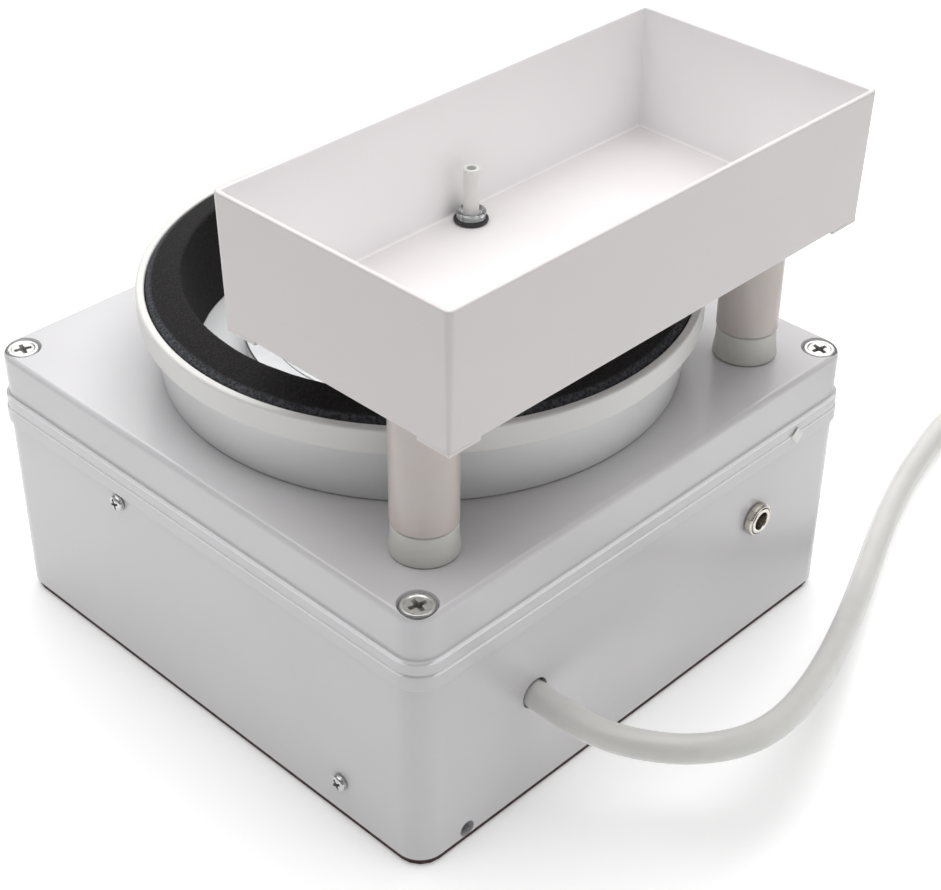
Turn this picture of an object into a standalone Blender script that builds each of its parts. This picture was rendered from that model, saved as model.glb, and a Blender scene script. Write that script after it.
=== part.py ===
"""A small tabletop pottery wheel with a splash basin, a drip tray on two legs and a drain hose.

Metres, +Z up. The origin is the middle of the housing's footprint, on the table. The front wall
faces -Y and the wall with the power jack and the drain hose faces +X.
"""

import math

import bmesh
import bpy
from mathutils import Euler, Matrix, Vector

# Clearances
GAP = 0.0003  # between pieces that touch
RUN = 0.0006  # round a piece that turns or slides
PLAY = 0.0003  # round a shank in its hole

# Housing: a square box with a screwed lid, on a thin pad
PAD_T = 0.0017
PAD_INSET = 0.0020
BOX_W = 0.2000
BOX_D = 0.2000
BASE_H = 0.0737
LID_H = 0.0200
CORNER_R = 0.0100
CORNER_STEPS = 4
BODY_INSET = 0.0010
FOOT_BEVEL = 0.0010
BAND_H = 0.0050
WALL = 0.0022
FLOOR_T = 0.0030
LID_T = 0.0030
LID_INSET = 0.0008
FLANGE_H = 0.0045
LID_EDGE_R = 0.0018
PILLAR = 0.0140
SEAL_W = 0.0012
SEAL_DEEP = 0.0020
SEAL_INSET = 0.0016

# Screws of the lid
LID_SCREW_IN = 0.0083  # from the box's side to the screw's axis
RECESS_R = 0.0058
RECESS_DEEP = 0.0030
LID_HEAD_R = 0.0051
LID_HEAD_H = 0.0025
LID_SHANK_R = 0.0020
LID_SCREW_L = 0.0320

# Wheel and its drive
WHEEL_R = 0.0575
WHEEL_T = 0.0045
WHEEL_GAP = 0.0150  # from the wheel's edge to the foam
HUB_R = 0.0150
HUB_T = 0.0014
HUB_LIFT = 0.0010
SHAFT_R = 0.0040
SHAFT_BELOW = 0.0170
WHEEL_SCREW_R = 0.0050
WHEEL_SHANK_R = 0.0020
WHEEL_SCREW_L = 0.0120

# Splash basin and its foam ring
BASIN_SIDES = 48
BASIN_FLOOR_T = 0.0019
BASIN_WALL = 0.0020
BASIN_FLARE = 0.0019
LEDGE_H = 0.0203
LEDGE_T = 0.0020
BASIN_H = 0.0292
RIM_STEP = 0.0040
RIM_WALL = 0.0028
BOSS_H = 0.0030
BOSS_T = 0.0025
FOAM_T = 0.0093
FOAM_H = 0.0323
FOAM_FLARE = 0.0035
FOAM_TOP_W = 0.0080
FOAM_SLOPE = 0.0015

# Motor under the lid
PLATE_R = 0.0450
PLATE_T = 0.0030
BASIN_SCREW_AT = 0.0380
BASIN_SCREW_R = 0.0019
BASIN_HEAD_R = 0.0036
BASIN_HEAD_H = 0.0020
GEAR_R = 0.0300
GEAR_H = 0.0224
NOSE_R = 0.0123
BEARING_R = 0.0080
BEARING_H = 0.0048
MOTOR_R = 0.0250
MOTOR_H = 0.0317
CAP_H = 0.0030
SEAL_RING_R = 0.0062

# Drain
DRAIN_ANGLE = math.radians(-52.7)
DRAIN_FLANGE_R = 0.0075
DRAIN_FLANGE_T = 0.0012
DRAIN_TUBE_R = 0.0050
DRAIN_BORE_R = 0.0024
DRAIN_BARB_R = 0.0033
DRAIN_BODY_L = 0.0110
DRAIN_BARB_L = 0.0045
DRAIN_NUT_R = 0.0080
DRAIN_NUT_T = 0.0036

# Drain hose
HOSE_R = 0.0045
HOSE_ROOM = 0.00075  # between the hose and the hole that it leaves by
HOSE_SAG = 0.0005  # how far it lies below the hole's middle
HOSE_OUT_LIFT = 0.0365  # under the hose, where it leaves the box
HOSE_START_X = 0.0880
HOSE_STEP = 0.0100
HOSE_GAP = 0.0004  # where one hose meets the next
# Each point: x, y and how far the hose's underside is above the table
HOSE_ROUTE = (
    (0.0880, -0.0506, 0.0365), (0.0990, -0.0506, 0.0365), (0.1099, -0.0512, 0.0370),
    (0.1210, -0.0510, 0.0376), (0.1302, -0.0484, 0.0375), (0.1379, -0.0439, 0.0371),
    (0.1443, -0.0380, 0.0362), (0.1492, -0.0302, 0.0347), (0.1527, -0.0205, 0.0327),
    (0.1538, -0.0085, 0.0299), (0.1518, 0.0063, 0.0261), (0.1467, 0.0246, 0.0208),
    (0.1390, 0.0460, 0.0144), (0.1299, 0.0682, 0.0083), (0.1207, 0.0895, 0.0036),
    (0.1115, 0.1101, 0.0009), (0.1031, 0.1293, 0.0002), (0.0963, 0.1467, 0.0001),
    (0.0905, 0.1639, 0.0001), (0.0856, 0.1822, 0.0003), (0.0822, 0.1985, 0.0011),
    (0.0815, 0.2070, 0.0015), (0.0815, 0.2117, 0.0015),
)
COIL_AT = (0.1395, 0.2500)
COIL_TURNS = 2
COIL_R = 0.0580  # middle of the outer turn
COIL_STUB_Y = 0.2121
TIE_T = 0.0012
TIE_W = 0.0045
TIE_ANGLE = math.radians(60)

# Legs, each a socket on the lid and a tube under the tray
POST_EDGE = 0.0247  # from the box's side to the leg's axis
POST_SIDE = 0.0271  # from the box's front or back to the leg's axis
POST_END = 0.0171  # from the leg's axis to the tray's end
LEG_R = 0.0100
LEG_WALL = 0.0021
LEG_H = 0.0408
SOCKET_STEP = 0.0003  # how much the leg is wider than its socket
SOCKET_FLARE = 0.0007
SOCKET_H = 0.0099
SPIGOT_H = 0.0200
POST_SCREW_R = 0.0022
POST_SCREW_L = 0.0100
POST_HEAD_R = 0.0042
POST_HEAD_H = 0.0022

# Water tray
TRAY_W = 0.0904
TRAY_H = 0.0432
TRAY_WALL = 0.0018
TRAY_FLOOR_T = 0.0020
TRAY_TAPER = 0.0010
TRAY_CORNER_R = 0.0020
TRAY_OFFSET = 0.0195  # from the legs' line to the tray's middle line
TRAY_Y = 0.0010
TRAY_FOOT = 0.0120
TRAY_FOOT_H = 0.0012
CUFF_T = 0.0015
CUFF_H = 0.0030

# Drip valve
VALVE_EDGE = 0.0089
VALVE_Y = 0.0023
VALVE_BORE_R = 0.0029
VALVE_BODY_R = 0.0046
VALVE_BODY_H = 0.0022
VALVE_THREAD_R = 0.0034
VALVE_NOZZLE_R = 0.0024
VALVE_NOZZLE_L = 0.0080
VALVE_HOLE_R = 0.0013
VALVE_NUT_R = 0.0058
VALVE_NUT_T = 0.0030
O_RING_R = 0.0054
O_RING_T = 0.0009
STEM_R = 0.0026
STEM_H = 0.0142
STEM_IN = 0.0030

# Power jack in the right wall
JACK_Y = 0.0540
JACK_Z = 0.0507
JACK_R = 0.0045
JACK_BORE_R = 0.0031
JACK_OUT = 0.0032
JACK_DEEP = 0.0120
JACK_BACK = 0.0100
JACK_FLANGE_R = 0.0062
JACK_FLANGE_T = 0.0024
JACK_NUT_R = 0.0057
JACK_NUT_T = 0.0026
JACK_PIN_R = 0.0010
JACK_PIN_IN = 0.0052

# Motor driver on the front wall
DRIVER_X = 0.01495
DRIVER_DX = 0.1007  # between its two screws
DRIVER_DZ = 0.0518
DRIVER_MARGIN = 0.0060
DRIVER_T = 0.0020
DRIVER_SCREW_R = 0.0016
DRIVER_HEAD_R = 0.0029
DRIVER_HEAD_H = 0.0019
DRIVER_NUT_R = 0.0034
DRIVER_NUT_T = 0.0024
BOARD_W = 0.0840
BOARD_H = 0.0360
BOARD_T = 0.0016
SPACER_R = 0.0030
SPACER_H = 0.0060
SINK_W = 0.0300
SINK_D = 0.0120
SINK_H = 0.0200
SINK_FINS = 5
SINK_X = -0.0220
CAPACITOR_R = 0.0060
CAPACITOR_H = 0.0140
CAPACITOR_X = 0.0140
LEAD_R = 0.0014
LEAD_GAP = 0.0004

# Small marks on the right wall
VENT_R = 0.0028
VENT_Y = -0.0792
VENT_Z = 0.0053
VENT_DEEP = 0.0050
LABEL_Y = 0.0719
LABEL_W = 0.0042
LABEL_H = 0.0052
LABEL_T = 0.0002
LABEL_DOWN = 0.0008  # its middle under the seam
LABEL_TURN = math.radians(40)

# Heights and places that follow from the sizes above
Z_BOX = PAD_T + GAP
Z_FLOOR = Z_BOX + FLOOR_T
Z_SEAM = Z_BOX + BASE_H
Z_BAND = Z_SEAM - BAND_H
Z_LID = Z_SEAM + GAP
Z_TOP = Z_LID + LID_H
Z_CEILING = Z_TOP - LID_T
WALL_IN = BODY_INSET + WALL
X_WALL = BOX_W / 2 - BODY_INSET
Y_WALL = -BOX_D / 2 + BODY_INSET

Z_BASIN = Z_TOP + GAP
Z_POND = Z_BASIN + BASIN_FLOOR_T
Z_BOSS = Z_POND + BOSS_H
Z_HUB = Z_POND + HUB_LIFT
Z_HUB_TOP = Z_BOSS + RUN + HUB_T
Z_WHEEL = Z_HUB_TOP + GAP
Z_WHEEL_TOP = Z_WHEEL + WHEEL_T
BOSS_BORE_R = SEAL_RING_R + GAP
FOAM_R = WHEEL_R + WHEEL_GAP
BASIN_R = FOAM_R + FOAM_T + GAP + BASIN_WALL

Z_PLATE = Z_CEILING - GAP - PLATE_T
Z_GEAR = Z_PLATE - GAP
Z_NOSE = Z_TOP - GAP
DRAIN_X = (FOAM_R - DRAIN_FLANGE_R - 0.002) * math.cos(DRAIN_ANGLE)
DRAIN_Y = (FOAM_R - DRAIN_FLANGE_R - 0.002) * math.sin(DRAIN_ANGLE)
Z_DRAIN = Z_POND + GAP

POST_X = BOX_W / 2 - POST_EDGE
POST_Y = BOX_D / 2 - POST_SIDE
TRAY_L = 2 * (POST_Y + POST_END)
SOCKET_R = LEG_R - SOCKET_STEP
Z_SOCKET = Z_BASIN + SOCKET_H
Z_LEG = Z_SOCKET + GAP
Z_TRAY = Z_LEG + LEG_H + GAP
Z_TRAY_FLOOR = Z_TRAY + TRAY_FLOOR_T
TRAY_X = POST_X - TRAY_OFFSET
VALVE_X = TRAY_X - TRAY_W / 2 + VALVE_EDGE
HOSE_OUT_Z = HOSE_R + HOSE_OUT_LIFT
RIM_R = BASIN_R + BASIN_FLARE + RIM_STEP
RIM_IN_R = RIM_R - RIM_WALL
LEDGE_R = BASIN_R + BASIN_FLARE
BOSS_R = BOSS_BORE_R + BOSS_T
Z_LEDGE = Z_BASIN + LEDGE_H + LEDGE_T
Z_RIM = Z_BASIN + BASIN_H
Z_SHAFT = Z_GEAR - SHAFT_BELOW
Z_CAN = Z_GEAR - GEAR_H - GAP
DRIVER_Z = Z_BAND - 2 * GAP - DRIVER_HEAD_R - DRIVER_DZ / 2
Y_BOARD = -BOX_D / 2 + WALL_IN + GAP + DRIVER_T + GAP + SPACER_H + GAP


# --- Making bodies ---------------------------------------------------------------------------


def material(name, colour, roughness, metallic=0.0):
    made = bpy.data.materials.new(name)
    made.use_nodes = True
    shader = made.node_tree.nodes["Principled BSDF"]
    shader.inputs["Base Color"].default_value = (*colour, 1.0)
    shader.inputs["Roughness"].default_value = roughness
    shader.inputs["Metallic"].default_value = metallic
    made.diffuse_color = (*colour, 1.0)
    return made


def spot_of(thing):
    """Where a chain of unturned parents puts the object."""
    spot = Vector((0, 0, 0))
    while thing:
        spot += thing.location
        thing = thing.parent
    return spot


def axis_empty(name, at, parent=None):
    """An empty on a joint's axis, which its moving pieces hang from."""
    empty = bpy.data.objects.new(name, None)
    bpy.context.scene.collection.objects.link(empty)
    empty.empty_display_size = 0.02
    empty.parent = parent
    empty.location = Vector(at) - spot_of(parent)
    return empty


def placed(name, bm, finish, at=(0, 0, 0), turn=(0, 0, 0), parent=None):
    """An object of the body bm, at a place in the world, under an optional parent."""
    mesh = bpy.data.meshes.new(name)
    bm.to_mesh(mesh)
    bm.free()
    mesh.shade_smooth()
    mesh.set_sharp_from_angle(angle=math.radians(35))
    mesh.materials.append(material(name, *finish))
    thing = bpy.data.objects.new(name, mesh)
    bpy.context.scene.collection.objects.link(thing)
    thing.parent = parent
    thing.location = Vector(at) - spot_of(parent)
    thing.rotation_euler = Euler(turn)
    return thing


def turned(profile, sides=24):
    """The body that a closed outline of (radius, height) points sweeps round the Z axis."""
    bm = bmesh.new()
    verts = [bm.verts.new((radius, 0, height)) for radius, height in profile]
    on_axis = profile[0][0] == 0 and profile[-1][0] == 0
    ends = list(zip(verts, verts[1:])) + ([] if on_axis else [(verts[-1], verts[0])])
    edges = [bm.edges.new(pair) for pair in ends]
    bmesh.ops.spin(
        bm, geom=verts + edges, cent=(0, 0, 0), axis=(0, 0, 1), angle=math.tau, steps=sides
    )
    bmesh.ops.remove_doubles(bm, verts=bm.verts[:], dist=1e-6)
    bmesh.ops.recalc_face_normals(bm, faces=bm.faces[:])
    return bm


def skinned(rings, closed=False):
    """A body whose skin runs from ring to ring. The end rings are filled, or joined if closed."""
    bm = bmesh.new()
    loops = [[bm.verts.new(point) for point in ring] for ring in rings]
    pairs = list(zip(loops, loops[1:])) + ([(loops[-1], loops[0])] if closed else [])
    for lower, upper in pairs:
        for k in range(len(lower)):
            bm.faces.new((lower[k - 1], lower[k], upper[k], upper[k - 1]))
    if not closed:
        bm.faces.new(loops[0])
        bm.faces.new(loops[-1])
    bmesh.ops.recalc_face_normals(bm, faces=bm.faces[:])
    return bm


def block(size, at=(0, 0, 0)):
    bm = bmesh.new()
    bmesh.ops.create_cube(bm, size=1.0)
    bmesh.ops.scale(bm, vec=size, verts=bm.verts[:])
    bmesh.ops.translate(bm, vec=at, verts=bm.verts[:])
    return bm


def rod(radius, low, high, sides=24):
    return turned(((0, low), (radius, low), (radius, high), (0, high)), sides)


def tube(outer, inner, low, high, sides=24):
    return turned(((inner, low), (outer, low), (outer, high), (inner, high)), sides)


def moved(bm, at=(0, 0, 0), turn=(0, 0, 0)):
    bmesh.ops.transform(
        bm, matrix=Matrix.Translation(at) @ Euler(turn).to_matrix().to_4x4(), verts=bm.verts[:]
    )
    return bm


def gathered(bodies):
    """One bmesh that holds several separate bodies."""
    bm = bmesh.new()
    for body in bodies:
        part = bpy.data.meshes.new("gathered")
        body.to_mesh(part)
        body.free()
        bm.from_mesh(part)
        bpy.data.meshes.remove(part)
    return bm


def boolean(target, bodies, operation):
    """Cuts bodies, given in the world, out of the target, or joins them to it."""
    helper = placed(f"{target.name}_{operation.lower()}", gathered(bodies), PLAIN)
    bpy.context.view_layer.update()
    helper.parent = target
    helper.matrix_parent_inverse = target.matrix_world.inverted()
    helper.hide_render = True
    helper.display_type = "WIRE"
    modifier = target.modifiers.new(operation.lower(), "BOOLEAN")
    modifier.operation = operation
    modifier.object = helper


def circle_ring(radius, height, sides=24):
    angles = (math.tau * k / sides for k in range(sides))
    return [(radius * math.cos(a), radius * math.sin(a), height) for a in angles]


def hexagon_ring(radius, height, sides=24):
    """A hexagon of the given corner radius, with as many points as circle_ring gives."""
    ring = []
    for k in range(sides):
        angle = math.tau * k / sides
        off_flat = angle % (math.tau / 6) - math.tau / 12
        reach = radius * math.cos(math.tau / 12) / math.cos(off_flat)
        ring.append((reach * math.cos(angle), reach * math.sin(angle), height))
    return ring


def cross_ring(arm, half, height):
    """A cross of four arms, as 16 points."""
    ring = []
    for turn in range(4):
        c, s = math.cos(turn * math.pi / 2), math.sin(turn * math.pi / 2)
        quarter = ((arm, 0), (arm, half), (half, half), (half, arm))
        ring += [(c * x - s * y, s * x + c * y, height) for x, y in quarter]
    return ring


def rounded_ring(width, depth, radius, height, steps=CORNER_STEPS):
    """Points round a rectangle with round corners."""
    ring = []
    for side_x, side_y, start in ((1, 1, 0), (-1, 1, 90), (-1, -1, 180), (1, -1, 270)):
        for k in range(steps + 1):
            angle = math.radians(start + 90 * k / steps)
            x = side_x * (width / 2 - radius) + radius * math.cos(angle)
            y = side_y * (depth / 2 - radius) + radius * math.sin(angle)
            ring.append((x, y, height))
    return ring


def notched_ring(width, depth, notch, height, steps=CORNER_STEPS):
    """Points round a rectangle with a square notch at each corner, as many as rounded_ring has."""
    ring = []
    for side_x, side_y in ((1, 1), (-1, 1), (-1, -1), (1, -1)):
        for k in range(steps + 1):
            lead = notch * min(2 * k / steps, 1)
            tail = notch * min(2 - 2 * k / steps, 1)
            in_x, in_y = (lead, tail) if side_x == side_y else (tail, lead)
            ring.append((side_x * (width / 2 - in_x), side_y * (depth / 2 - in_y), height))
    return ring


def cross_screw(profile, arm, half, deep):
    """A screw with a cross recess in its top. Its profile runs from the top down to the tip."""
    top = profile[0][1]
    crosses = [cross_ring(arm, half, top - deep), cross_ring(arm, half, top)]
    return skinned(crosses + [circle_ring(radius, height, 16) for radius, height in profile])


def pan_screw(head_r, head_h, shank_r, length):
    """A pan head screw whose head stands on z = 0, with its shank below."""
    profile = (
        (head_r * 0.86, head_h), (head_r * 0.97, head_h * 0.78), (head_r, head_h * 0.45),
        (head_r, 0), (shank_r, 0), (shank_r, shank_r - length), (shank_r * 0.3, -length),
    )
    return cross_screw(profile, head_r * 0.62, head_r * 0.13, head_h * 0.55)


def nut(radius, hole, low, high):
    rings = [circle_ring(hole, low), hexagon_ring(radius, low)]
    return skinned(rings + [hexagon_ring(radius, high), circle_ring(hole, high)], closed=True)


def smooth_route(points, step):
    """Points about a step apart on a smooth curve through the given points."""
    points = [Vector(point) for point in points]
    padded = [2 * points[0] - points[1], *points, 2 * points[-1] - points[-2]]
    fine = []
    for a, b, c, d in zip(padded, padded[1:], padded[2:], padded[3:]):
        for k in range(16):
            t = k / 16
            fine.append(
                0.5 * (2 * b + (c - a) * t + (2 * a - 5 * b + 4 * c - d) * t**2
                       + (3 * b - a - 3 * c + d) * t**3)
            )
    fine.append(points[-1])
    lengths = [0.0]
    for here, there in zip(fine, fine[1:]):
        lengths.append(lengths[-1] + (there - here).length)
    count = max(2, round(lengths[-1] / step))
    route, at = [], 0
    for k in range(count + 1):
        target = lengths[-1] * k / count
        while at < len(fine) - 2 and lengths[at + 1] < target:
            at += 1
        share = (target - lengths[at]) / (lengths[at + 1] - lengths[at])
        route.append(fine[at].lerp(fine[at + 1], min(share, 1.0)))
    return route


def flexible(name, points, radius, finish, step, roundness=3):
    """A round hose or lead along a route, with closed ends."""
    route = smooth_route(points, step)
    data = bpy.data.curves.new(name, "CURVE")
    data.dimensions = "3D"
    data.bevel_depth = radius
    data.bevel_resolution = roundness
    data.use_fill_caps = True
    spline = data.splines.new("POLY")
    spline.points.add(len(route) - 1)
    for point, place in zip(spline.points, route):
        point.co = (*place, 1.0)
    data.materials.append(material(name, *finish))
    thing = bpy.data.objects.new(name, data)
    bpy.context.scene.collection.objects.link(thing)
    return thing


# --- Finishes: colour, roughness, metallic ---------------------------------------------------

PLAIN = ((0.5, 0.5, 0.5), 0.5)
HOUSING_GREY = ((0.72, 0.72, 0.75), 0.42)
BASIN_WHITE = ((0.80, 0.80, 0.78), 0.38)
SOCKET_WHITE = ((0.74, 0.76, 0.71), 0.45)
TRAY_WHITE = ((0.80, 0.77, 0.78), 0.40)
SCREW_WHITE = ((0.80, 0.80, 0.77), 0.35)
FOAM_BLACK = ((0.030, 0.028, 0.028), 0.95)
RUBBER_BLACK = ((0.020, 0.020, 0.020), 0.80)
PAD_BROWN = ((0.060, 0.035, 0.030), 0.85)
STEEL = ((0.60, 0.60, 0.60), 0.30, 1.0)
NICKEL = ((0.70, 0.69, 0.66), 0.25, 1.0)
ALUMINIUM = ((0.72, 0.73, 0.74), 0.35, 1.0)
BRASS = ((0.75, 0.55, 0.25), 0.30, 1.0)
HOSE_MILKY = ((0.62, 0.62, 0.59), 0.30)
CLEAR_PLASTIC = ((0.70, 0.72, 0.72), 0.20)
STEM_WHITE = ((0.86, 0.86, 0.84), 0.40)
BOARD_GREEN = ((0.03, 0.18, 0.07), 0.50)
BLACK_PLASTIC = ((0.025, 0.025, 0.027), 0.50)
PAPER = ((0.85, 0.85, 0.84), 0.60)

# Turns that lay a body's own +Z along the world's +X or -Y
TO_RIGHT = (0, math.pi / 2, 0)
TO_FRONT = (math.pi / 2, 0, 0)


# --- Housing ---------------------------------------------------------------------------------


def box_ring(inset, height):
    return rounded_ring(BOX_W - 2 * inset, BOX_D - 2 * inset, CORNER_R - inset, height)


def cavity_ring(height):
    return notched_ring(BOX_W - 2 * WALL_IN, BOX_D - 2 * WALL_IN, PILLAR, height)


def corners():
    """The places of the four lid screws."""
    x, y = BOX_W / 2 - LID_SCREW_IN, BOX_D / 2 - LID_SCREW_IN
    return [(x, y), (-x, y), (-x, -y), (x, -y)]


def driver_screw_places():
    """The two screws of the motor driver, one high on the left and one low on the right."""
    x, z = DRIVER_DX / 2, DRIVER_DZ / 2
    return [(DRIVER_X - x, DRIVER_Z + z), (DRIVER_X + x, DRIVER_Z - z)]


def make_pad():
    def ring(height):
        return box_ring(PAD_INSET, height)

    placed("base_pad", skinned([ring(0), ring(PAD_T)]), PAD_BROWN)


def make_box():
    ledge = Z_SEAM - SEAL_DEEP
    rings = [
        box_ring(BODY_INSET + FOOT_BEVEL, Z_BOX),
        box_ring(BODY_INSET, Z_BOX + FOOT_BEVEL),
        box_ring(BODY_INSET, Z_BAND - GAP),
        box_ring(0, Z_BAND),
        box_ring(0, Z_SEAM - GAP),
        box_ring(GAP, Z_SEAM),
        box_ring(SEAL_INSET, Z_SEAM),
        box_ring(SEAL_INSET, ledge),
        cavity_ring(ledge),
        cavity_ring(Z_FLOOR),
    ]
    box = placed("housing_box", skinned(rings), HOUSING_GREY)
    tip = Z_TOP - RECESS_DEEP - LID_SCREW_L
    holes = [
        moved(rod(LID_SHANK_R + PLAY, tip - GAP, Z_SEAM, 12), (x, y, 0)) for x, y in corners()
    ]
    low, high = X_WALL - 0.008, BOX_W / 2 + 0.002
    holes.append(moved(rod(JACK_R + PLAY, low, high), (0, JACK_Y, JACK_Z), TO_RIGHT))
    hole = rod(HOSE_R + HOSE_ROOM, low, high, 32)
    holes.append(moved(hole, (0, HOSE_ROUTE[0][1], HOSE_OUT_Z + HOSE_SAG), TO_RIGHT))
    holes.append(moved(rod(VENT_R, X_WALL - VENT_DEEP, high), (0, VENT_Y, VENT_Z), TO_RIGHT))
    for x, z in driver_screw_places():
        hole = rod(DRIVER_SCREW_R + PLAY, -Y_WALL - 0.005, -Y_WALL + 0.003, 16)
        holes.append(moved(hole, (x, 0, z), TO_FRONT))
    boolean(box, holes, "DIFFERENCE")


def make_gasket():
    inner, outer = SEAL_INSET + GAP + SEAL_W, SEAL_INSET + GAP
    low, high = Z_SEAM - SEAL_DEEP + GAP, Z_SEAM
    corners_of_section = ((inner, low), (outer, low), (outer, high), (inner, high))
    rings = [box_ring(inset, height) for inset, height in corners_of_section]
    placed("lid_gasket", skinned(rings, closed=True), RUBBER_BLACK)


def make_lid():
    flange = Z_LID + FLANGE_H
    rings = [cavity_ring(Z_CEILING), cavity_ring(Z_LID), box_ring(GAP, Z_LID)]
    rings += [box_ring(0, Z_LID + GAP), box_ring(0, flange)]
    rings += [box_ring(LID_INSET, flange + GAP)]
    for k in range(3):
        angle = math.radians(45 * k)
        inset = LID_INSET + LID_EDGE_R * (1 - math.cos(angle))
        rings.append(box_ring(inset, Z_TOP - LID_EDGE_R * (1 - math.sin(angle))))
    lid = placed("housing_lid", skinned(rings), HOUSING_GREY)
    over, under = Z_TOP + 0.001, Z_LID - 0.001
    seat = Z_TOP - RECESS_DEEP
    shank = LID_SHANK_R + PLAY
    recess = (
        (0, over), (RECESS_R, over), (RECESS_R, seat), (shank, seat), (shank, under), (0, under)
    )
    holes = [moved(turned(recess, 20), (x, y, 0)) for x, y in corners()]
    holes.append(rod(NOSE_R + PLAY, Z_CEILING - 0.001, over, 24))
    holes += drain_and_screw_holes(Z_CEILING - 0.001, over)
    for side in (-1, 1):
        hole = rod(POST_SCREW_R + PLAY, Z_CEILING - 0.001, over, 12)
        holes.append(moved(hole, (POST_X, side * POST_Y, 0)))
    boolean(lid, holes, "DIFFERENCE")


def drain_and_screw_holes(low, high, with_drain=True):
    """Cutters for the drain and for the four screws that clamp basin, lid and motor plate."""
    holes = [
        moved(rod(BASIN_SCREW_R + PLAY, low, high, 10), (x, y, 0)) for x, y in basin_screw_places()
    ]
    if with_drain:
        holes.append(moved(rod(DRAIN_TUBE_R + PLAY, low, high, 16), (DRAIN_X, DRAIN_Y, 0)))
    return holes


def make_lid_screws():
    for count, (x, y) in enumerate(corners(), 1):
        screw = pan_screw(LID_HEAD_R, LID_HEAD_H, LID_SHANK_R, LID_SCREW_L - GAP)
        height = Z_TOP - RECESS_DEEP + GAP
        placed(f"lid_screw_{count}", screw, SCREW_WHITE, (x, y, height), (0, 0, 0.5 * count))


def make_label():
    body = block((LABEL_T, LABEL_W, LABEL_H))
    at = (BOX_W / 2 + GAP + LABEL_T / 2, LABEL_Y, Z_SEAM - LABEL_DOWN)
    placed("seam_label", body, PAPER, at, (LABEL_TURN, 0, 0))


# --- Splash basin ----------------------------------------------------------------------------


def basin_screw_places():
    quarter = [math.radians(45 + 90 * k) for k in range(4)]
    return [(BASIN_SCREW_AT * math.cos(a), BASIN_SCREW_AT * math.sin(a)) for a in quarter]


def make_basin():
    edge = 0.0006
    profile = (
        (BASIN_R, Z_BASIN), (LEDGE_R, Z_BASIN + LEDGE_H),
        (RIM_R - edge, Z_BASIN + LEDGE_H), (RIM_R, Z_BASIN + LEDGE_H + edge),
        (RIM_R, Z_RIM - edge), (RIM_R - edge, Z_RIM), (RIM_IN_R, Z_RIM), (RIM_IN_R, Z_LEDGE),
        (LEDGE_R - BASIN_WALL, Z_LEDGE), (BASIN_R - BASIN_WALL, Z_POND), (BOSS_R, Z_POND),
        (BOSS_R, Z_BOSS),
        (BOSS_BORE_R, Z_BOSS), (BOSS_BORE_R, Z_BASIN),
    )
    basin = placed("splash_basin", turned(profile, BASIN_SIDES), BASIN_WHITE)
    boolean(basin, drain_and_screw_holes(Z_BASIN - 0.001, Z_POND + 0.001), "DIFFERENCE")


def make_foam():
    top = Z_POND + FOAM_H
    lip = FOAM_R + FOAM_FLARE
    profile = (
        (FOAM_R, Z_POND + GAP), (FOAM_R + FOAM_T, Z_POND + GAP),
        (FOAM_R + FOAM_T + BASIN_FLARE, Z_LEDGE + GAP), (RIM_IN_R - GAP, Z_LEDGE + GAP),
        (RIM_IN_R - GAP, Z_RIM - 0.0005), (lip + FOAM_TOP_W, top - FOAM_SLOPE), (lip, top),
    )
    placed("foam_ring", turned(profile, BASIN_SIDES), FOAM_BLACK)


def make_basin_screws():
    for count, (x, y) in enumerate(basin_screw_places(), 1):
        length = Z_POND + GAP - (Z_PLATE - 0.0025)
        profile = (
            (0, BASIN_HEAD_H), (BASIN_HEAD_R * 0.8, BASIN_HEAD_H),
            (BASIN_HEAD_R, BASIN_HEAD_H * 0.6), (BASIN_HEAD_R, 0), (BASIN_SCREW_R, 0),
            (BASIN_SCREW_R, -length), (0, -length),
        )
        placed(f"basin_screw_{count}", turned(profile, 12), STEEL, (x, y, Z_POND + GAP))


# --- Wheel and motor -------------------------------------------------------------------------


def make_wheel(axis):
    hole = WHEEL_SHANK_R + PLAY
    sink = WHEEL_SCREW_R - WHEEL_SHANK_R
    disc = (
        (hole, Z_WHEEL), (WHEEL_R - 0.0006, Z_WHEEL), (WHEEL_R, Z_WHEEL + 0.0006),
        (WHEEL_R, Z_WHEEL_TOP - 0.0008), (WHEEL_R - 0.0008, Z_WHEEL_TOP),
        (hole + sink, Z_WHEEL_TOP), (hole, Z_WHEEL_TOP - sink),
    )
    placed("wheel_disc", turned(disc, 48), ALUMINIUM, parent=axis)

    bore = SHAFT_R + PLAY
    skirt = BOSS_R + RUN
    hub = (
        (bore, Z_HUB_TOP - HUB_T), (skirt, Z_HUB_TOP - HUB_T), (skirt, Z_HUB), (HUB_R, Z_HUB),
        (HUB_R, Z_HUB_TOP - 0.0006), (HUB_R - 0.0006, Z_HUB_TOP), (bore, Z_HUB_TOP),
    )
    placed("wheel_hub", turned(hub, 24), ALUMINIUM, parent=axis)

    head = Z_WHEEL_TOP - GAP
    tip = head - WHEEL_SCREW_L
    shaft = (
        (0, tip - GAP), (hole, tip - GAP), (hole, Z_HUB_TOP), (SHAFT_R, Z_HUB_TOP),
        (SHAFT_R, Z_SHAFT), (0, Z_SHAFT),
    )
    placed("wheel_shaft", turned(shaft, 20), STEEL, parent=axis)

    taper = sink - GAP
    screw = (
        (WHEEL_SHANK_R + taper, head), (WHEEL_SHANK_R, head - taper), (WHEEL_SHANK_R, tip + 0.001),
        (WHEEL_SHANK_R / 2, tip),
    )
    body = cross_screw(screw, 0.0026, 0.00055, 0.0014)
    placed("wheel_screw", body, STEEL, parent=axis)


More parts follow.
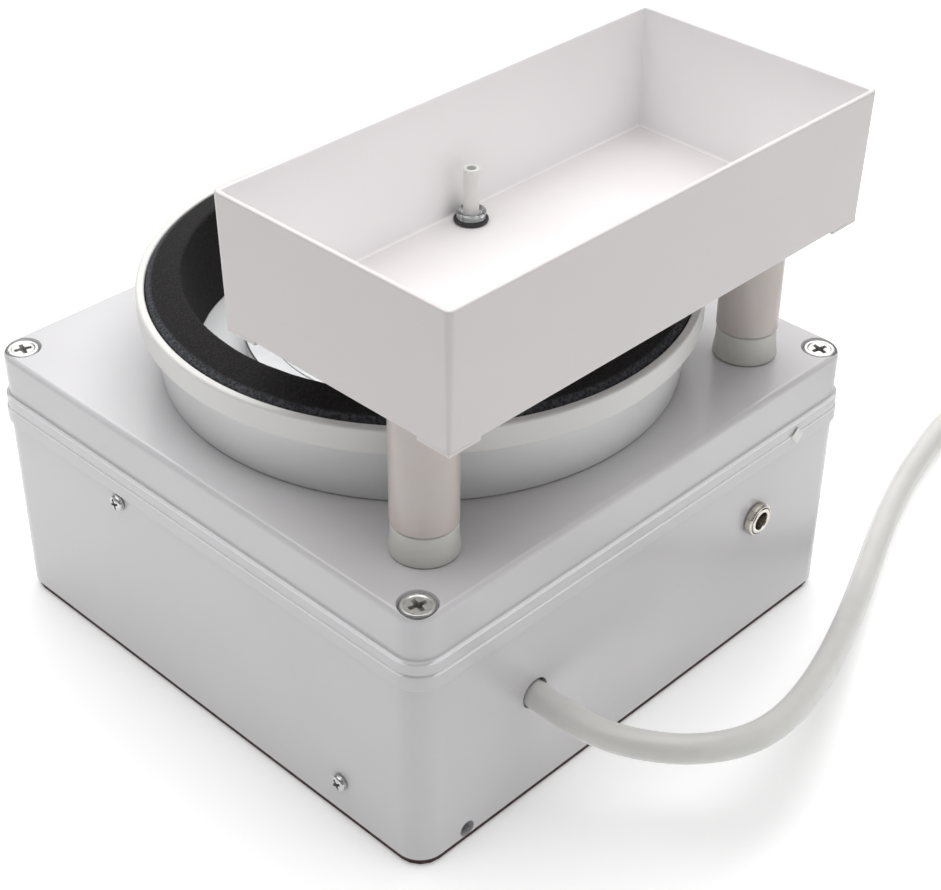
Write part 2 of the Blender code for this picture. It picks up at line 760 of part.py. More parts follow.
def make_motor():
    plate = placed("motor_plate", tube(PLATE_R, NOSE_R + PLAY, Z_PLATE, Z_PLATE + PLATE_T, 32),
                   STEEL)
    holes = drain_and_screw_holes(Z_PLATE - 0.001, Z_PLATE + PLATE_T + 0.001, with_drain=False)
    boolean(plate, holes, "DIFFERENCE")

    seat = Z_NOSE - GAP - BEARING_H - GAP
    bore = SHAFT_R + PLAY
    gearbox = (
        (0, Z_SHAFT - GAP), (bore, Z_SHAFT - GAP), (bore, seat), (BEARING_R + PLAY, seat),
        (BEARING_R + PLAY, Z_NOSE), (NOSE_R, Z_NOSE), (NOSE_R, Z_GEAR), (GEAR_R, Z_GEAR),
        (GEAR_R, Z_GEAR - GEAR_H), (0, Z_GEAR - GEAR_H),
    )
    placed("gearbox", turned(gearbox, 24), ALUMINIUM)
    placed("shaft_bearing", tube(BEARING_R, bore, seat + GAP, Z_NOSE - GAP, 20), STEEL)
    placed("shaft_seal", tube(SEAL_RING_R, bore, Z_NOSE + GAP, Z_BOSS - GAP, 20), RUBBER_BLACK)

    placed("motor_can", rod(MOTOR_R, Z_CAN - MOTOR_H, Z_CAN, 24), BLACK_PLASTIC)
    low = Z_CAN - MOTOR_H - GAP
    cap = (
        (0, low), (MOTOR_R - 0.001, low), (MOTOR_R - 0.001, low - CAP_H),
        (0.008, low - CAP_H), (0.008, low - 2 * CAP_H), (0, low - 2 * CAP_H),
    )
    placed("motor_end_cap", turned(cap, 20), STEEL)


# --- Drain -----------------------------------------------------------------------------------


def make_drain():
    low = Z_DRAIN - DRAIN_BODY_L
    fitting = (
        (DRAIN_BORE_R, Z_DRAIN + DRAIN_FLANGE_T), (DRAIN_FLANGE_R - 0.0006,
        Z_DRAIN + DRAIN_FLANGE_T), (DRAIN_FLANGE_R, Z_DRAIN + 0.0004), (DRAIN_FLANGE_R, Z_DRAIN),
        (DRAIN_TUBE_R, Z_DRAIN), (DRAIN_TUBE_R, low), (DRAIN_BARB_R, low),
        (DRAIN_BARB_R, low - DRAIN_BARB_L), (DRAIN_BORE_R, low - DRAIN_BARB_L),
    )
    placed("drain_fitting", turned(fitting, 16), STEM_WHITE, (DRAIN_X, DRAIN_Y, 0))
    top = Z_CEILING - GAP
    body = nut(DRAIN_NUT_R, DRAIN_TUBE_R + PLAY, top - DRAIN_NUT_T, top)
    placed("drain_nut", body, STEM_WHITE, (DRAIN_X, DRAIN_Y, 0))

    start = low - DRAIN_BARB_L - HOSE_GAP
    end = (HOSE_START_X - HOSE_GAP, HOSE_ROUTE[0][1], HOSE_OUT_Z)
    side, drop = end[0] - 0.014 - DRAIN_X, start - HOSE_OUT_Z
    inside = [(DRAIN_X, DRAIN_Y, start)]
    for share, fallen in ((0.0, 0.15), (0.05, 0.42), (0.20, 0.68), (0.46, 0.88), (0.78, 0.98)):
        y = DRAIN_Y + (end[1] - DRAIN_Y) * share
        inside.append((DRAIN_X + side * share, y, start - drop * fallen))
    inside += [(end[0] - 0.008, end[1], end[2]), end]
    flexible("inner_hose", inside, HOSE_R, HOSE_MILKY, HOSE_STEP)


def make_hose():
    route = [(x, y, HOSE_R + lift) for x, y, lift in HOSE_ROUTE]
    flexible("drain_hose", route, HOSE_R, HOSE_MILKY, HOSE_STEP)

    low, high = TIE_T + GAP, TIE_T + GAP + 2 * HOSE_R
    pitch = 2 * HOSE_R + 0.0002
    outer, inner = COIL_R + HOSE_R, COIL_R - COIL_TURNS * pitch - HOSE_R
    edge = HOSE_R * 0.3
    profile = (
        (inner, low + edge), (inner + edge, low), (outer - edge, low), (outer, low + edge),
        (outer, high - edge), (outer - edge, high), (inner + edge, high), (inner, high - edge),
    )
    coil = placed("hose_coil", turned(profile, 40), HOSE_MILKY, (*COIL_AT, 0))
    run = COIL_AT[1] - COIL_STUB_Y
    side = 2 * HOSE_R - 0.0013
    stub = block((side, run, side), (COIL_AT[0] - COIL_R, COIL_STUB_Y + run / 2, low + HOSE_R))
    boolean(coil, [stub], "UNION")

    width, depth = outer - inner + 2 * GAP, high - low + 2 * GAP
    rings = []
    for grow, height in ((0, -1), (TIE_T, -1), (TIE_T, 1), (0, 1)):
        ring = rounded_ring(width + 2 * grow, depth + 2 * grow, 0.0004 + grow,
                            height * TIE_W / 2, 2)
        rings.append(ring)
    middle = (outer + inner) / 2
    x = COIL_AT[0] + middle * math.cos(TIE_ANGLE)
    y = COIL_AT[1] + middle * math.sin(TIE_ANGLE)
    tie = skinned(rings, closed=True)
    placed("hose_tie", tie, BLACK_PLASTIC, (x, y, low + HOSE_R), (math.pi / 2, 0, TIE_ANGLE))


# --- Legs, tray and drip valve ---------------------------------------------------------------


def make_sockets():
    spigot = LEG_R - LEG_WALL - GAP
    hole = POST_SCREW_R + PLAY
    top = Z_SOCKET + SPIGOT_H
    depth = Z_BASIN + POST_SCREW_L + GAP
    flare = SOCKET_R + SOCKET_FLARE
    profile = (
        (0, depth), (hole, depth), (hole, Z_BASIN), (flare, Z_BASIN), (flare, Z_BASIN + 0.0012),
        (SOCKET_R + 0.0002, Z_BASIN + 0.0030), (SOCKET_R, Z_SOCKET - 0.0004),
        (SOCKET_R - 0.0004, Z_SOCKET), (spigot, Z_SOCKET), (spigot, top - 0.001),
        (spigot - 0.001, top), (0, top),
    )
    head = Z_CEILING - GAP
    screw = (
        (0, Z_BASIN + POST_SCREW_L), (POST_SCREW_R, Z_BASIN + POST_SCREW_L), (POST_SCREW_R, head),
        (POST_HEAD_R, head), (POST_HEAD_R, head - POST_HEAD_H), (0, head - POST_HEAD_H),
    )
    for side, word in ((-1, "front"), (1, "back")):
        at = (POST_X, side * POST_Y, 0)
        placed(f"post_socket_{word}", turned(profile, 20), SOCKET_WHITE, at)
        placed(f"socket_screw_{word}", turned(screw, 12), STEEL, at)


def make_legs(tray_axis):
    body_high = Z_LEG + LEG_H
    for side, word in ((-1, "front"), (1, "back")):
        body = tube(LEG_R, LEG_R - LEG_WALL, Z_LEG, body_high, 20)
        placed(f"tray_leg_{word}", body, TRAY_WHITE, (POST_X, side * POST_Y, 0), parent=tray_axis)


def tray_ring(inset, height):
    radius = max(TRAY_CORNER_R - inset, 0.0006)
    return rounded_ring(TRAY_W - 2 * inset, TRAY_L - 2 * inset, radius, height, 4)


def make_tray(tray_axis):
    top = Z_TRAY + TRAY_H
    edge = 0.0005
    rings = [
        tray_ring(TRAY_TAPER + edge, Z_TRAY),
        tray_ring(TRAY_TAPER, Z_TRAY + edge),
        tray_ring(0, top - edge),
        tray_ring(edge, top),
        tray_ring(TRAY_WALL - edge, top),
        tray_ring(TRAY_WALL, top - edge),
        tray_ring(TRAY_WALL + TRAY_TAPER, Z_TRAY_FLOOR),
    ]
    tray = placed("water_tray", skinned(rings), TRAY_WHITE, (TRAY_X, TRAY_Y, 0), parent=tray_axis)
    into = 0.0005
    cuffs = []
    for side in (-1, 1):
        cuff = tube(LEG_R + PLAY + CUFF_T, LEG_R + PLAY, Z_TRAY - CUFF_H, Z_TRAY + into, 20)
        cuffs.append(moved(cuff, (POST_X, side * POST_Y, 0)))
    boolean(tray, cuffs, "UNION")
    x = TRAY_W / 2 - TRAY_TAPER - edge - 0.0002 - TRAY_FOOT / 2
    y = TRAY_L / 2 - TRAY_TAPER - edge - 0.0002 - TRAY_FOOT / 2
    size = (TRAY_FOOT, TRAY_FOOT, TRAY_FOOT_H + into)
    feet = []
    for at_x, at_y in ((x, y), (-x, y), (-x, -y), (x, -y)):
        middle = (TRAY_X + at_x, TRAY_Y + at_y, Z_TRAY + (into - TRAY_FOOT_H) / 2)
        feet.append(block(size, middle))
    boolean(tray, feet, "UNION")
    hole = rod(VALVE_THREAD_R + PLAY, Z_TRAY - 0.001, Z_TRAY_FLOOR + 0.001, 16)
    boolean(tray, [moved(hole, (VALVE_X, VALVE_Y, 0))], "DIFFERENCE")


def make_valve(tray_axis, stem_axis):
    at = (VALVE_X, VALVE_Y, 0)
    ring = Z_TRAY_FLOOR + GAP
    seat = ring + O_RING_T + GAP
    top = seat + VALVE_BODY_H
    thread = Z_TRAY - 0.005
    tip = thread - VALVE_NOZZLE_L
    bottom = top - STEM_IN
    body = (
        (VALVE_HOLE_R, tip), (VALVE_NOZZLE_R, tip), (VALVE_NOZZLE_R, thread),
        (VALVE_THREAD_R, thread), (VALVE_THREAD_R, seat), (VALVE_BODY_R, seat),
        (VALVE_BODY_R, top - 0.0003), (VALVE_BODY_R - 0.0003, top), (VALVE_BORE_R, top),
        (VALVE_BORE_R, bottom), (VALVE_HOLE_R, bottom),
    )
    placed("valve_body", turned(body, 16), CLEAR_PLASTIC, at, parent=tray_axis)
    seal = tube(O_RING_R, VALVE_THREAD_R + GAP, ring, ring + O_RING_T, 16)
    placed("valve_seal", seal, RUBBER_BLACK, at, parent=tray_axis)
    below = Z_TRAY - GAP
    body = nut(VALVE_NUT_R, VALVE_THREAD_R + PLAY, below - VALVE_NUT_T, below)
    placed("valve_nut", body, STEM_WHITE, at, parent=tray_axis)

    low, high = bottom + GAP, top + STEM_H
    bore = STEM_R * 0.55
    stem = (
        (0, high - 0.006), (bore, high - 0.006), (bore, high), (STEM_R - 0.0005, high),
        (STEM_R, high - 0.0006), (STEM_R, low), (0, low),
    )
    placed("valve_stem", turned(stem, 16), STEM_WHITE, at, parent=stem_axis)


# --- Power jack ------------------------------------------------------------------------------


def knurled_ring(radius, height, sides=36):
    """A circle whose every second point is a little nearer the axis."""
    ring = circle_ring(radius, height, sides)
    return [
        (x * (1 - 0.03 * (k % 2)), y * (1 - 0.03 * (k % 2)), z) for k, (x, y, z) in enumerate(ring)
    ]


def make_jack():
    at = (0, JACK_Y, JACK_Z)
    mouth = X_WALL + JACK_OUT
    inside = BOX_W / 2 - WALL_IN - GAP
    back = inside - JACK_FLANGE_T
    body = (
        (0, mouth - JACK_DEEP), (JACK_BORE_R, mouth - JACK_DEEP), (JACK_BORE_R, mouth - 0.0003),
        (JACK_BORE_R + 0.0003, mouth), (JACK_R - 0.0003, mouth), (JACK_R, mouth - 0.0003),
        (JACK_R, inside), (JACK_FLANGE_R, inside), (JACK_FLANGE_R, back), (JACK_R, back),
        (JACK_R, back - JACK_BACK), (0, back - JACK_BACK),
    )
    placed("jack_body", turned(body, 20), NICKEL, at, TO_RIGHT)
    pin = rod(JACK_PIN_R, mouth - JACK_DEEP + GAP, mouth - JACK_PIN_IN, 16)
    placed("jack_pin", pin, BRASS, at, TO_RIGHT)
    low = X_WALL + GAP
    rings = [
        circle_ring(JACK_R + PLAY, low, 36), circle_ring(JACK_NUT_R * 0.96, low, 36),
        knurled_ring(JACK_NUT_R, low + 0.0004), knurled_ring(JACK_NUT_R, low + JACK_NUT_T - 0.0004),
        circle_ring(JACK_NUT_R * 0.94, low + JACK_NUT_T, 36),
        circle_ring(JACK_R + PLAY, low + JACK_NUT_T, 36),
    ]
    placed("jack_nut", skinned(rings, closed=True), NICKEL, at, TO_RIGHT)

    start = back - JACK_BACK - LEAD_GAP
    end = (DRIVER_X + BOARD_W / 2 - 0.008, Y_BOARD + BOARD_T + LEAD_GAP, DRIVER_Z - 0.012)
    lead = [
        (start, JACK_Y, JACK_Z), (start - 0.010, JACK_Y, JACK_Z), (0.0690, 0.0350, 0.0400),
        (0.0670, 0.0050, 0.0300), (0.0650, -0.0300, 0.0260), (0.0590, -0.0560, 0.0260),
        (end[0], end[1] + 0.010, end[2]), end,
    ]
    flexible("power_lead", lead, LEAD_R, BLACK_PLASTIC, 0.012, 2)


# --- Motor driver ----------------------------------------------------------------------------


def heat_sink():
    """A comb of fins that stands on its back, extruded along Z."""
    base = 0.0030
    pitch = SINK_W / (2 * SINK_FINS - 1)
    outline = [(0, 0), (SINK_W, 0)]
    for fin in reversed(range(SINK_FINS)):
        left, right = 2 * fin * pitch, (2 * fin + 1) * pitch
        outline += [(right, base), (right, SINK_D), (left, SINK_D), (left, base)]
    outline = [p for k, p in enumerate(outline) if k not in (2, len(outline) - 1)]
    heights = (-SINK_H / 2, SINK_H / 2)
    return skinned([[(x - SINK_W / 2, y, z) for x, y in outline] for z in heights])


def make_driver():
    plate_y = -BOX_D / 2 + WALL_IN + GAP
    size = (DRIVER_DX + 2 * DRIVER_MARGIN, DRIVER_T, DRIVER_DZ + 2 * DRIVER_MARGIN)
    at = (DRIVER_X, plate_y + DRIVER_T / 2, DRIVER_Z)
    plate = placed("driver_plate", block(size), ALUMINIUM, at)
    holes = []
    for x, z in driver_screw_places():
        hole = rod(DRIVER_SCREW_R + PLAY, -plate_y - DRIVER_T - 0.001, -plate_y + 0.001, 16)
        holes.append(moved(hole, (x, 0, z), TO_FRONT))
    boolean(plate, holes, "DIFFERENCE")

    nut_y = plate_y + DRIVER_T + GAP
    length = nut_y + DRIVER_NUT_T + 0.001 - (Y_WALL - GAP)
    for count, (x, z) in enumerate(driver_screw_places(), 1):
        screw = pan_screw(DRIVER_HEAD_R, DRIVER_HEAD_H, DRIVER_SCREW_R, length)
        placed(f"driver_screw_{count}", screw, STEEL, (x, Y_WALL - GAP, z), TO_FRONT)
        body = nut(DRIVER_NUT_R, DRIVER_SCREW_R + PLAY, -DRIVER_NUT_T, 0)
        placed(f"driver_nut_{count}", body, STEEL, (x, nut_y, z), TO_FRONT)

    placed("driver_board", block((BOARD_W, BOARD_T, BOARD_H)), BOARD_GREEN,
           (DRIVER_X, Y_BOARD + BOARD_T / 2, DRIVER_Z))
    for side, word in ((-1, "left"), (1, "right")):
        body = rod(SPACER_R, -SPACER_H, 0, 16)
        x = DRIVER_X + side * (BOARD_W / 2 - 0.006)
        z = DRIVER_Z + side * (BOARD_H / 2 - 0.006)
        placed(f"driver_spacer_{word}", body, BRASS, (x, nut_y, z), TO_FRONT)
    face = Y_BOARD + BOARD_T + GAP
    placed("driver_heat_sink", heat_sink(), ALUMINIUM, (DRIVER_X + SINK_X, face, DRIVER_Z))
    capacitor = rod(CAPACITOR_R, -CAPACITOR_H, 0, 20)
    at = (DRIVER_X + CAPACITOR_X, face, DRIVER_Z)
    placed("driver_capacitor", capacitor, BLACK_PLASTIC, at, TO_FRONT)

    cap_side = -(MOTOR_R - 0.001) - LEAD_GAP
    height = Z_CAN - MOTOR_H - GAP - CAP_H / 2
    x = DRIVER_X + (SINK_X + CAPACITOR_X) / 2 + 0.004
    low = DRIVER_Z - 0.014
    lead = [
        (0, cap_side, height), (0, cap_side - 0.010, height), (x * 0.6, -0.055, height + 0.002),
        (x, face + 0.010, low), (x, Y_BOARD + BOARD_T + LEAD_GAP, low),
    ]
    flexible("motor_lead", lead, LEAD_R, BLACK_PLASTIC, 0.010, 2)


def main():
    for thing in list(bpy.data.objects):
        bpy.data.objects.remove(thing)
    make_pad()
    make_box()
    make_gasket()
    make_lid()
    make_lid_screws()
    make_label()
    make_basin()
    make_foam()
    make_basin_screws()
    make_wheel(axis_empty("wheel_axis", (0, 0, Z_WHEEL)))
    make_motor()
    make_drain()
    make_hose()
    make_sockets()
    tray_axis = axis_empty("tray_axis", (TRAY_X, 0, Z_TRAY))
    make_legs(tray_axis)
    make_tray(tray_axis)
    stem_axis = axis_empty("stem_axis", (VALVE_X, VALVE_Y, Z_TRAY_FLOOR), tray_axis)
    make_valve(tray_axis, stem_axis)
    make_jack()
    make_driver()


main()
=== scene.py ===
# %% [markdown]
# # A small tabletop pottery wheel
# The machine is a square sealed housing with a motor inside. On its lid sit a round splash
# basin with a foam ring and two short legs that carry an open water tray. A drain hose leaves
# through the right wall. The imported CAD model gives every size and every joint, so this script
# loads it first and then builds the finer pieces that stand in its place.

# %% Load the frame
import math

import bmesh
import bpy
from mathutils import Matrix, Vector


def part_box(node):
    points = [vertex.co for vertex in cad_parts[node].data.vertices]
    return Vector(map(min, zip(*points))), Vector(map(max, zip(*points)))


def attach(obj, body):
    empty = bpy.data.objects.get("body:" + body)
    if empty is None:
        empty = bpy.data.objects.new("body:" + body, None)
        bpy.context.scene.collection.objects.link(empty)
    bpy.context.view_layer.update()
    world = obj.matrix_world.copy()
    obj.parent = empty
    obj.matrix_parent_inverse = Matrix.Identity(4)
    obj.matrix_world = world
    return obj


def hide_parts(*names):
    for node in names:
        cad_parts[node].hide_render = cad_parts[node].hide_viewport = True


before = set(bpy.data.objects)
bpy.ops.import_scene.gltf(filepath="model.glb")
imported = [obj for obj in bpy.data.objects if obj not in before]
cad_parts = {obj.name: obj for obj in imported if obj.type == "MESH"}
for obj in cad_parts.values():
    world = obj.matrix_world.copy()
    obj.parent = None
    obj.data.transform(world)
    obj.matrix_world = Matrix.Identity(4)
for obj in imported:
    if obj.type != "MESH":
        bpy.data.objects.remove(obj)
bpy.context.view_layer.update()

# %% [markdown]
# ## The camera
# A long lens from above the near corner shows the lid, two walls and the inside of the tray.
# A camera looks along its own -Z with +Y up, so three unit vectors fix how it is turned: where
# its right side, its top and its back point. That is easier to read than three angles.

# %% Camera
to_right = Vector((0.71459424, 0.69950769, 0.00663778))
to_top = Vector((-0.40742815, 0.40846453, 0.81679804))
to_back = Vector((0.56864521, -0.58638359, 0.57688552))
CAMERA_AT = (0.387276, -0.376399, 0.438557)
turn = Matrix((to_right, to_top, to_back)).transposed().to_4x4()

camera = bpy.data.objects.new("camera", bpy.data.cameras.new("camera"))
bpy.context.scene.collection.objects.link(camera)
camera.matrix_world = Matrix.Translation(CAMERA_AT) @ turn
camera.data.sensor_width = 36.0
camera.data.lens = 75.03
camera.data.clip_start, camera.data.clip_end = 0.01, 50.0
bpy.context.scene.camera = camera
print("camera is", round(camera.location.length, 3), "m from the middle of the footprint")

# %% [markdown]
# ## Finishes
# Every finish starts from one Principled shader. Its flat numbers sit on the shader's own
# sockets. What varies over the surface is laid on top in three steps: a slow drift of the
# colour, a drift of the roughness, which is what makes plastic look handled, and a fine bump
# for the grain. All three read Object coordinates, so the pattern keeps its size in metres.


# %% A material and its nodes
def surface(name, colour, roughness, **sockets):
    """A material whose shader holds the constant numbers."""
    made = bpy.data.materials.new(name)
    made.use_nodes = True
    shader = made.node_tree.nodes["Principled BSDF"]
    shader.inputs["Base Color"].default_value = (*colour, 1.0)
    shader.inputs["Roughness"].default_value = roughness
    for label, value in sockets.items():
        shader.inputs[label.replace("_", " ")].default_value = value
    made.diffuse_color = (*colour, 1.0)
    return made


def node(material, kind, **settings):
    """A new node in the material, with its settings and its inputs by name."""
    made = material.node_tree.nodes.new(kind)
    for label, value in settings.items():
        if hasattr(made, label):
            setattr(made, label, value)
        else:
            made.inputs[label].default_value = value
    return made


def link(material, output, target):
    material.node_tree.links.new(output, target)


def shader_of(material):
    return material.node_tree.nodes["Principled BSDF"]


# %% Noise in metres
def metres(material):
    """The socket that gives the place on the piece, in metres."""
    for made in material.node_tree.nodes:
        if made.bl_idname == "ShaderNodeTexCoord":
            return made.outputs["Object"]
    return node(material, "ShaderNodeTexCoord").outputs["Object"]


def noise_of(material, size, detail=1.0):
    """Noise whose patches are about that many metres across."""
    made = node(material, "ShaderNodeTexNoise", Scale=1.0 / size, Detail=detail)
    link(material, metres(material), made.inputs["Vector"])
    return made.outputs["Fac"]


# %% Tint, polish and grain
DRIFT_SHARE = 0.25  # how much the noise counts where a source rules the tint


def tint(material, dark, light, size, source=None):
    """Lets the colour drift between two colours in patches of this size.

    A source from 0 to 1 says which of the two rules, and the drift is then slight."""
    ramp = node(material, "ShaderNodeValToRGB")
    low_stop = 0.12 if source else 0.25
    ramp.color_ramp.elements[0].position = low_stop
    ramp.color_ramp.elements[0].color = (*dark, 1.0)
    ramp.color_ramp.elements[1].position = 1.0 - low_stop
    ramp.color_ramp.elements[1].color = (*light, 1.0)
    drift = noise_of(material, size)
    if source:
        mixed = node(material, "ShaderNodeMix", data_type="FLOAT")
        mixed.inputs[0].default_value = DRIFT_SHARE
        link(material, source, mixed.inputs[2])
        link(material, drift, mixed.inputs[3])
        drift = mixed.outputs[0]
    link(material, drift, ramp.inputs["Fac"])
    link(material, ramp.outputs["Color"], shader_of(material).inputs["Base Color"])


def polish(material, low, high, size):
    """Lets the roughness drift between two values in patches of this size."""
    spread = node(material, "ShaderNodeMapRange")
    spread.inputs["From Min"].default_value = 0.2
    spread.inputs["From Max"].default_value = 0.8
    spread.inputs["To Min"].default_value = low
    spread.inputs["To Max"].default_value = high
    link(material, noise_of(material, size), spread.inputs["Value"])
    link(material, spread.outputs["Result"], shader_of(material).inputs["Roughness"])


def grain(material, size, depth, strength=1.0, source=None):
    """Adds a bump on top of the one that is there. Depth is in metres."""
    bump = node(material, "ShaderNodeBump", Strength=strength, Distance=depth)
    link(material, source or noise_of(material, size, 2.0), bump.inputs["Height"])
    normal = shader_of(material).inputs["Normal"]
    if normal.links:
        link(material, normal.links[0].from_socket, bump.inputs["Normal"])
    link(material, bump.outputs["Normal"], normal)


# %% [markdown]
# Some tones are painted light and shade at a place on the piece: a painted highlight on the top
# edges of the housing's band and flange, and painted shade in the recess of a screw. The mesh then
# carries a mark, a number from 0 to 1 on each point, and the material mixes a second colour there.


# %% Marks
def mark(mesh, label, rule):
    """Writes a number from 0 to 1 on every point of the mesh."""
    values = mesh.attributes.new(label, "FLOAT", "POINT")
    for point, value in zip(mesh.vertices, values.data):
        value.value = float(rule(point.co))


def stain(material, label, colour, share):
    """Mixes a colour in where the mesh carries the mark."""
    where = node(material, "ShaderNodeAttribute", attribute_name=label)
    amount = node(material, "ShaderNodeMath", operation="MULTIPLY")
    amount.inputs[1].default_value = share
    link(material, where.outputs["Fac"], amount.inputs[0])
    mixed = node(material, "ShaderNodeMix", data_type="RGBA")
    base = shader_of(material).inputs["Base Color"]
    link(material, amount.outputs[0], mixed.inputs[0])
    link(material, base.links[0].from_socket, mixed.inputs[6])
    mixed.inputs[7].default_value = (*colour, 1.0)
    link(material, mixed.outputs[2], base)


# %% [markdown]
# ### Moulded plastics
# The housing is grey plastic with a fine and even grain. The basin and the tray are smoother and
# lighter, and the sockets are a greener white than the legs. The roughness of each plastic keeps
# to one side of about 0.27, because patches with crisp edges showed in renders where it didn't.

# %% Plastics
housing_grey = surface("housing_grey", (0.66, 0.655, 0.665), 0.25, Specular_IOR_Level=0.7)
tint(housing_grey, (0.630, 0.620, 0.632), (0.656, 0.646, 0.658), 0.045)
# painted highlight: a near-white line where the edge mark sits on the top edges of the band and
# flange
stain(housing_grey, "edge", (0.95, 0.95, 0.96), 0.90)
polish(housing_grey, 0.20, 0.265, 0.030)
grain(housing_grey, 0.00100, 0.000008, 0.20)

basin_white = surface("basin_white", (0.75, 0.75, 0.73), 0.34)
basin_depth = node(basin_white, "ShaderNodeSeparateXYZ")
link(basin_white, metres(basin_white), basin_depth.inputs["Vector"])
basin_step = node(basin_white, "ShaderNodeMapRange")  # from the wall's tone to the rim's
basin_step.inputs["From Min"].default_value = 0.1160
basin_step.inputs["From Max"].default_value = 0.1168
link(basin_white, basin_depth.outputs["Z"], basin_step.inputs["Value"])
tint(
    basin_white, (0.745, 0.750, 0.757), (0.745, 0.740, 0.720), 0.030, basin_step.outputs["Result"]
)
polish(basin_white, 0.28, 0.42, 0.018)
grain(basin_white, 0.00060, 0.000012, 0.5)

socket_white = surface("socket_white", (0.69, 0.685, 0.64), 0.36)
tint(socket_white, (0.670, 0.668, 0.618), (0.710, 0.702, 0.660), 0.009)
polish(socket_white, 0.36, 0.50, 0.006)
grain(socket_white, 0.00050, 0.000015, 0.5)

leg_white = surface("leg_white", (0.61, 0.555, 0.53), 0.24)
tint(leg_white, (0.595, 0.535, 0.508), (0.625, 0.572, 0.550), 0.014)
polish(leg_white, 0.20, 0.265, 0.008)
grain(leg_white, 0.00050, 0.000014, 0.5)

tray_white = surface("tray_white", (0.82, 0.79, 0.79), 0.34)
# painted light and shade: the inside of the walls is painted lighter and the outside darker
tray_painted_light = node(tray_white, "ShaderNodeAttribute", attribute_name="inside")
tint(tray_white, (0.715, 0.676, 0.676), (0.950, 0.935, 0.940), 0.050, tray_painted_light.outputs["Fac"])
polish(tray_white, 0.28, 0.40, 0.025)
grain(tray_white, 0.00045, 0.000010, 0.4)
print("plastics:", housing_grey.name, basin_white.name, tray_white.name)

# %% [markdown]
# ### Foam and rubber
# The foam is almost black, but each cut cell has a rim that catches the light. A Voronoi
# texture gives such cells: its distance is the depth of each pit. It drives a bump, and it also
# paints shade in the pits and a highlight on the rims. On the outer side the cells
# are larger and greyer than on the top, so the distance from the axis picks between two sizes.

# %% Foam
foam_black = surface("foam_black", (0.030, 0.027, 0.027), 0.92, Specular_IOR_Level=0.30)


def pits(material, size, randomness=1.0):
    made = node(material, "ShaderNodeTexVoronoi", Scale=1.0 / size, Randomness=randomness)
    link(material, metres(material), made.inputs["Vector"])
    return made.outputs["Distance"]


fine_pits, large_pits = pits(foam_black, 0.00060), pits(foam_black, 0.00100)
apart = node(foam_black, "ShaderNodeSeparateXYZ")
link(foam_black, metres(foam_black), apart.inputs["Vector"])
flat_place = node(foam_black, "ShaderNodeCombineXYZ")
link(foam_black, apart.outputs["X"], flat_place.inputs["X"])
link(foam_black, apart.outputs["Y"], flat_place.inputs["Y"])
reach = node(foam_black, "ShaderNodeVectorMath", operation="LENGTH")
link(foam_black, flat_place.outputs["Vector"], reach.inputs[0])
outside = node(foam_black, "ShaderNodeMapRange")
outside.inputs["From Min"].default_value = 0.0846
outside.inputs["From Max"].default_value = 0.0854
link(foam_black, reach.outputs["Value"], outside.inputs["Value"])

cells = node(foam_black, "ShaderNodeMix", data_type="FLOAT")
link(foam_black, outside.outputs["Result"], cells.inputs[0])
link(foam_black, fine_pits, cells.inputs[2])
link(foam_black, large_pits, cells.inputs[3])
# painted shade and highlight: these ramps darken the bottom of each pit and lighten its rim
top_painted_pit_shade = node(foam_black, "ShaderNodeValToRGB")
top_painted_pit_shade.color_ramp.elements[0].color = (0.004, 0.0038, 0.004, 1.0)
top_painted_pit_shade.color_ramp.elements[1].position = 0.75
top_painted_pit_shade.color_ramp.elements[1].color = (0.021, 0.019, 0.0195, 1.0)
side_painted_pit_shade = node(foam_black, "ShaderNodeValToRGB")
side_painted_pit_shade.color_ramp.elements[0].color = (0.008, 0.008, 0.010, 1.0)
side_painted_pit_shade.color_ramp.elements[1].position = 0.75
side_painted_pit_shade.color_ramp.elements[1].color = (0.075, 0.078, 0.086, 1.0)
for ramp in (top_painted_pit_shade, side_painted_pit_shade):
    link(foam_black, cells.outputs[0], ramp.inputs["Fac"])
colours = node(foam_black, "ShaderNodeMix", data_type="RGBA")
link(foam_black, outside.outputs["Result"], colours.inputs[0])
link(foam_black, top_painted_pit_shade.outputs["Color"], colours.inputs[6])
link(foam_black, side_painted_pit_shade.outputs["Color"], colours.inputs[7])
link(foam_black, colours.outputs[2], shader_of(foam_black).inputs["Base Color"])
grain(foam_black, 0.001, 0.00018, 0.8, cells.outputs[0])
grain(foam_black, 0.00030, 0.00006, 0.6)
print("foam cells are 0.6 mm on top and 1 mm on the outer side")

# %% Rubber
rubber_black = surface("rubber_black", (0.018, 0.018, 0.019), 0.60)
tint(rubber_black, (0.014, 0.014, 0.015), (0.024, 0.024, 0.025), 0.004)
grain(rubber_black, 0.00030, 0.00002, 0.6)

pad_brown = surface("pad_brown", (0.060, 0.035, 0.030), 0.88)
tint(pad_brown, (0.040, 0.022, 0.018), (0.085, 0.052, 0.044), 0.003)
grain(pad_brown, 0.00080, 0.00012, 0.8)
print("rubbers:", rubber_black.name, pad_brown.name)

# %% [markdown]
# ### Metals
# Metals differ mostly in roughness and tint. A screw head gets a fine grain and painted shade in
# its recess.
# The disc of the wheel is taken as turned on a lathe, which leaves rings: a Wave texture in ring
# mode round Z gives them.


# %% Metals
def metal(name, dark, light, low, high, size):
    made = surface(name, light, (low + high) / 2, Metallic=1.0)
    tint(made, dark, light, size)
    polish(made, low, high, size / 2)
    return made


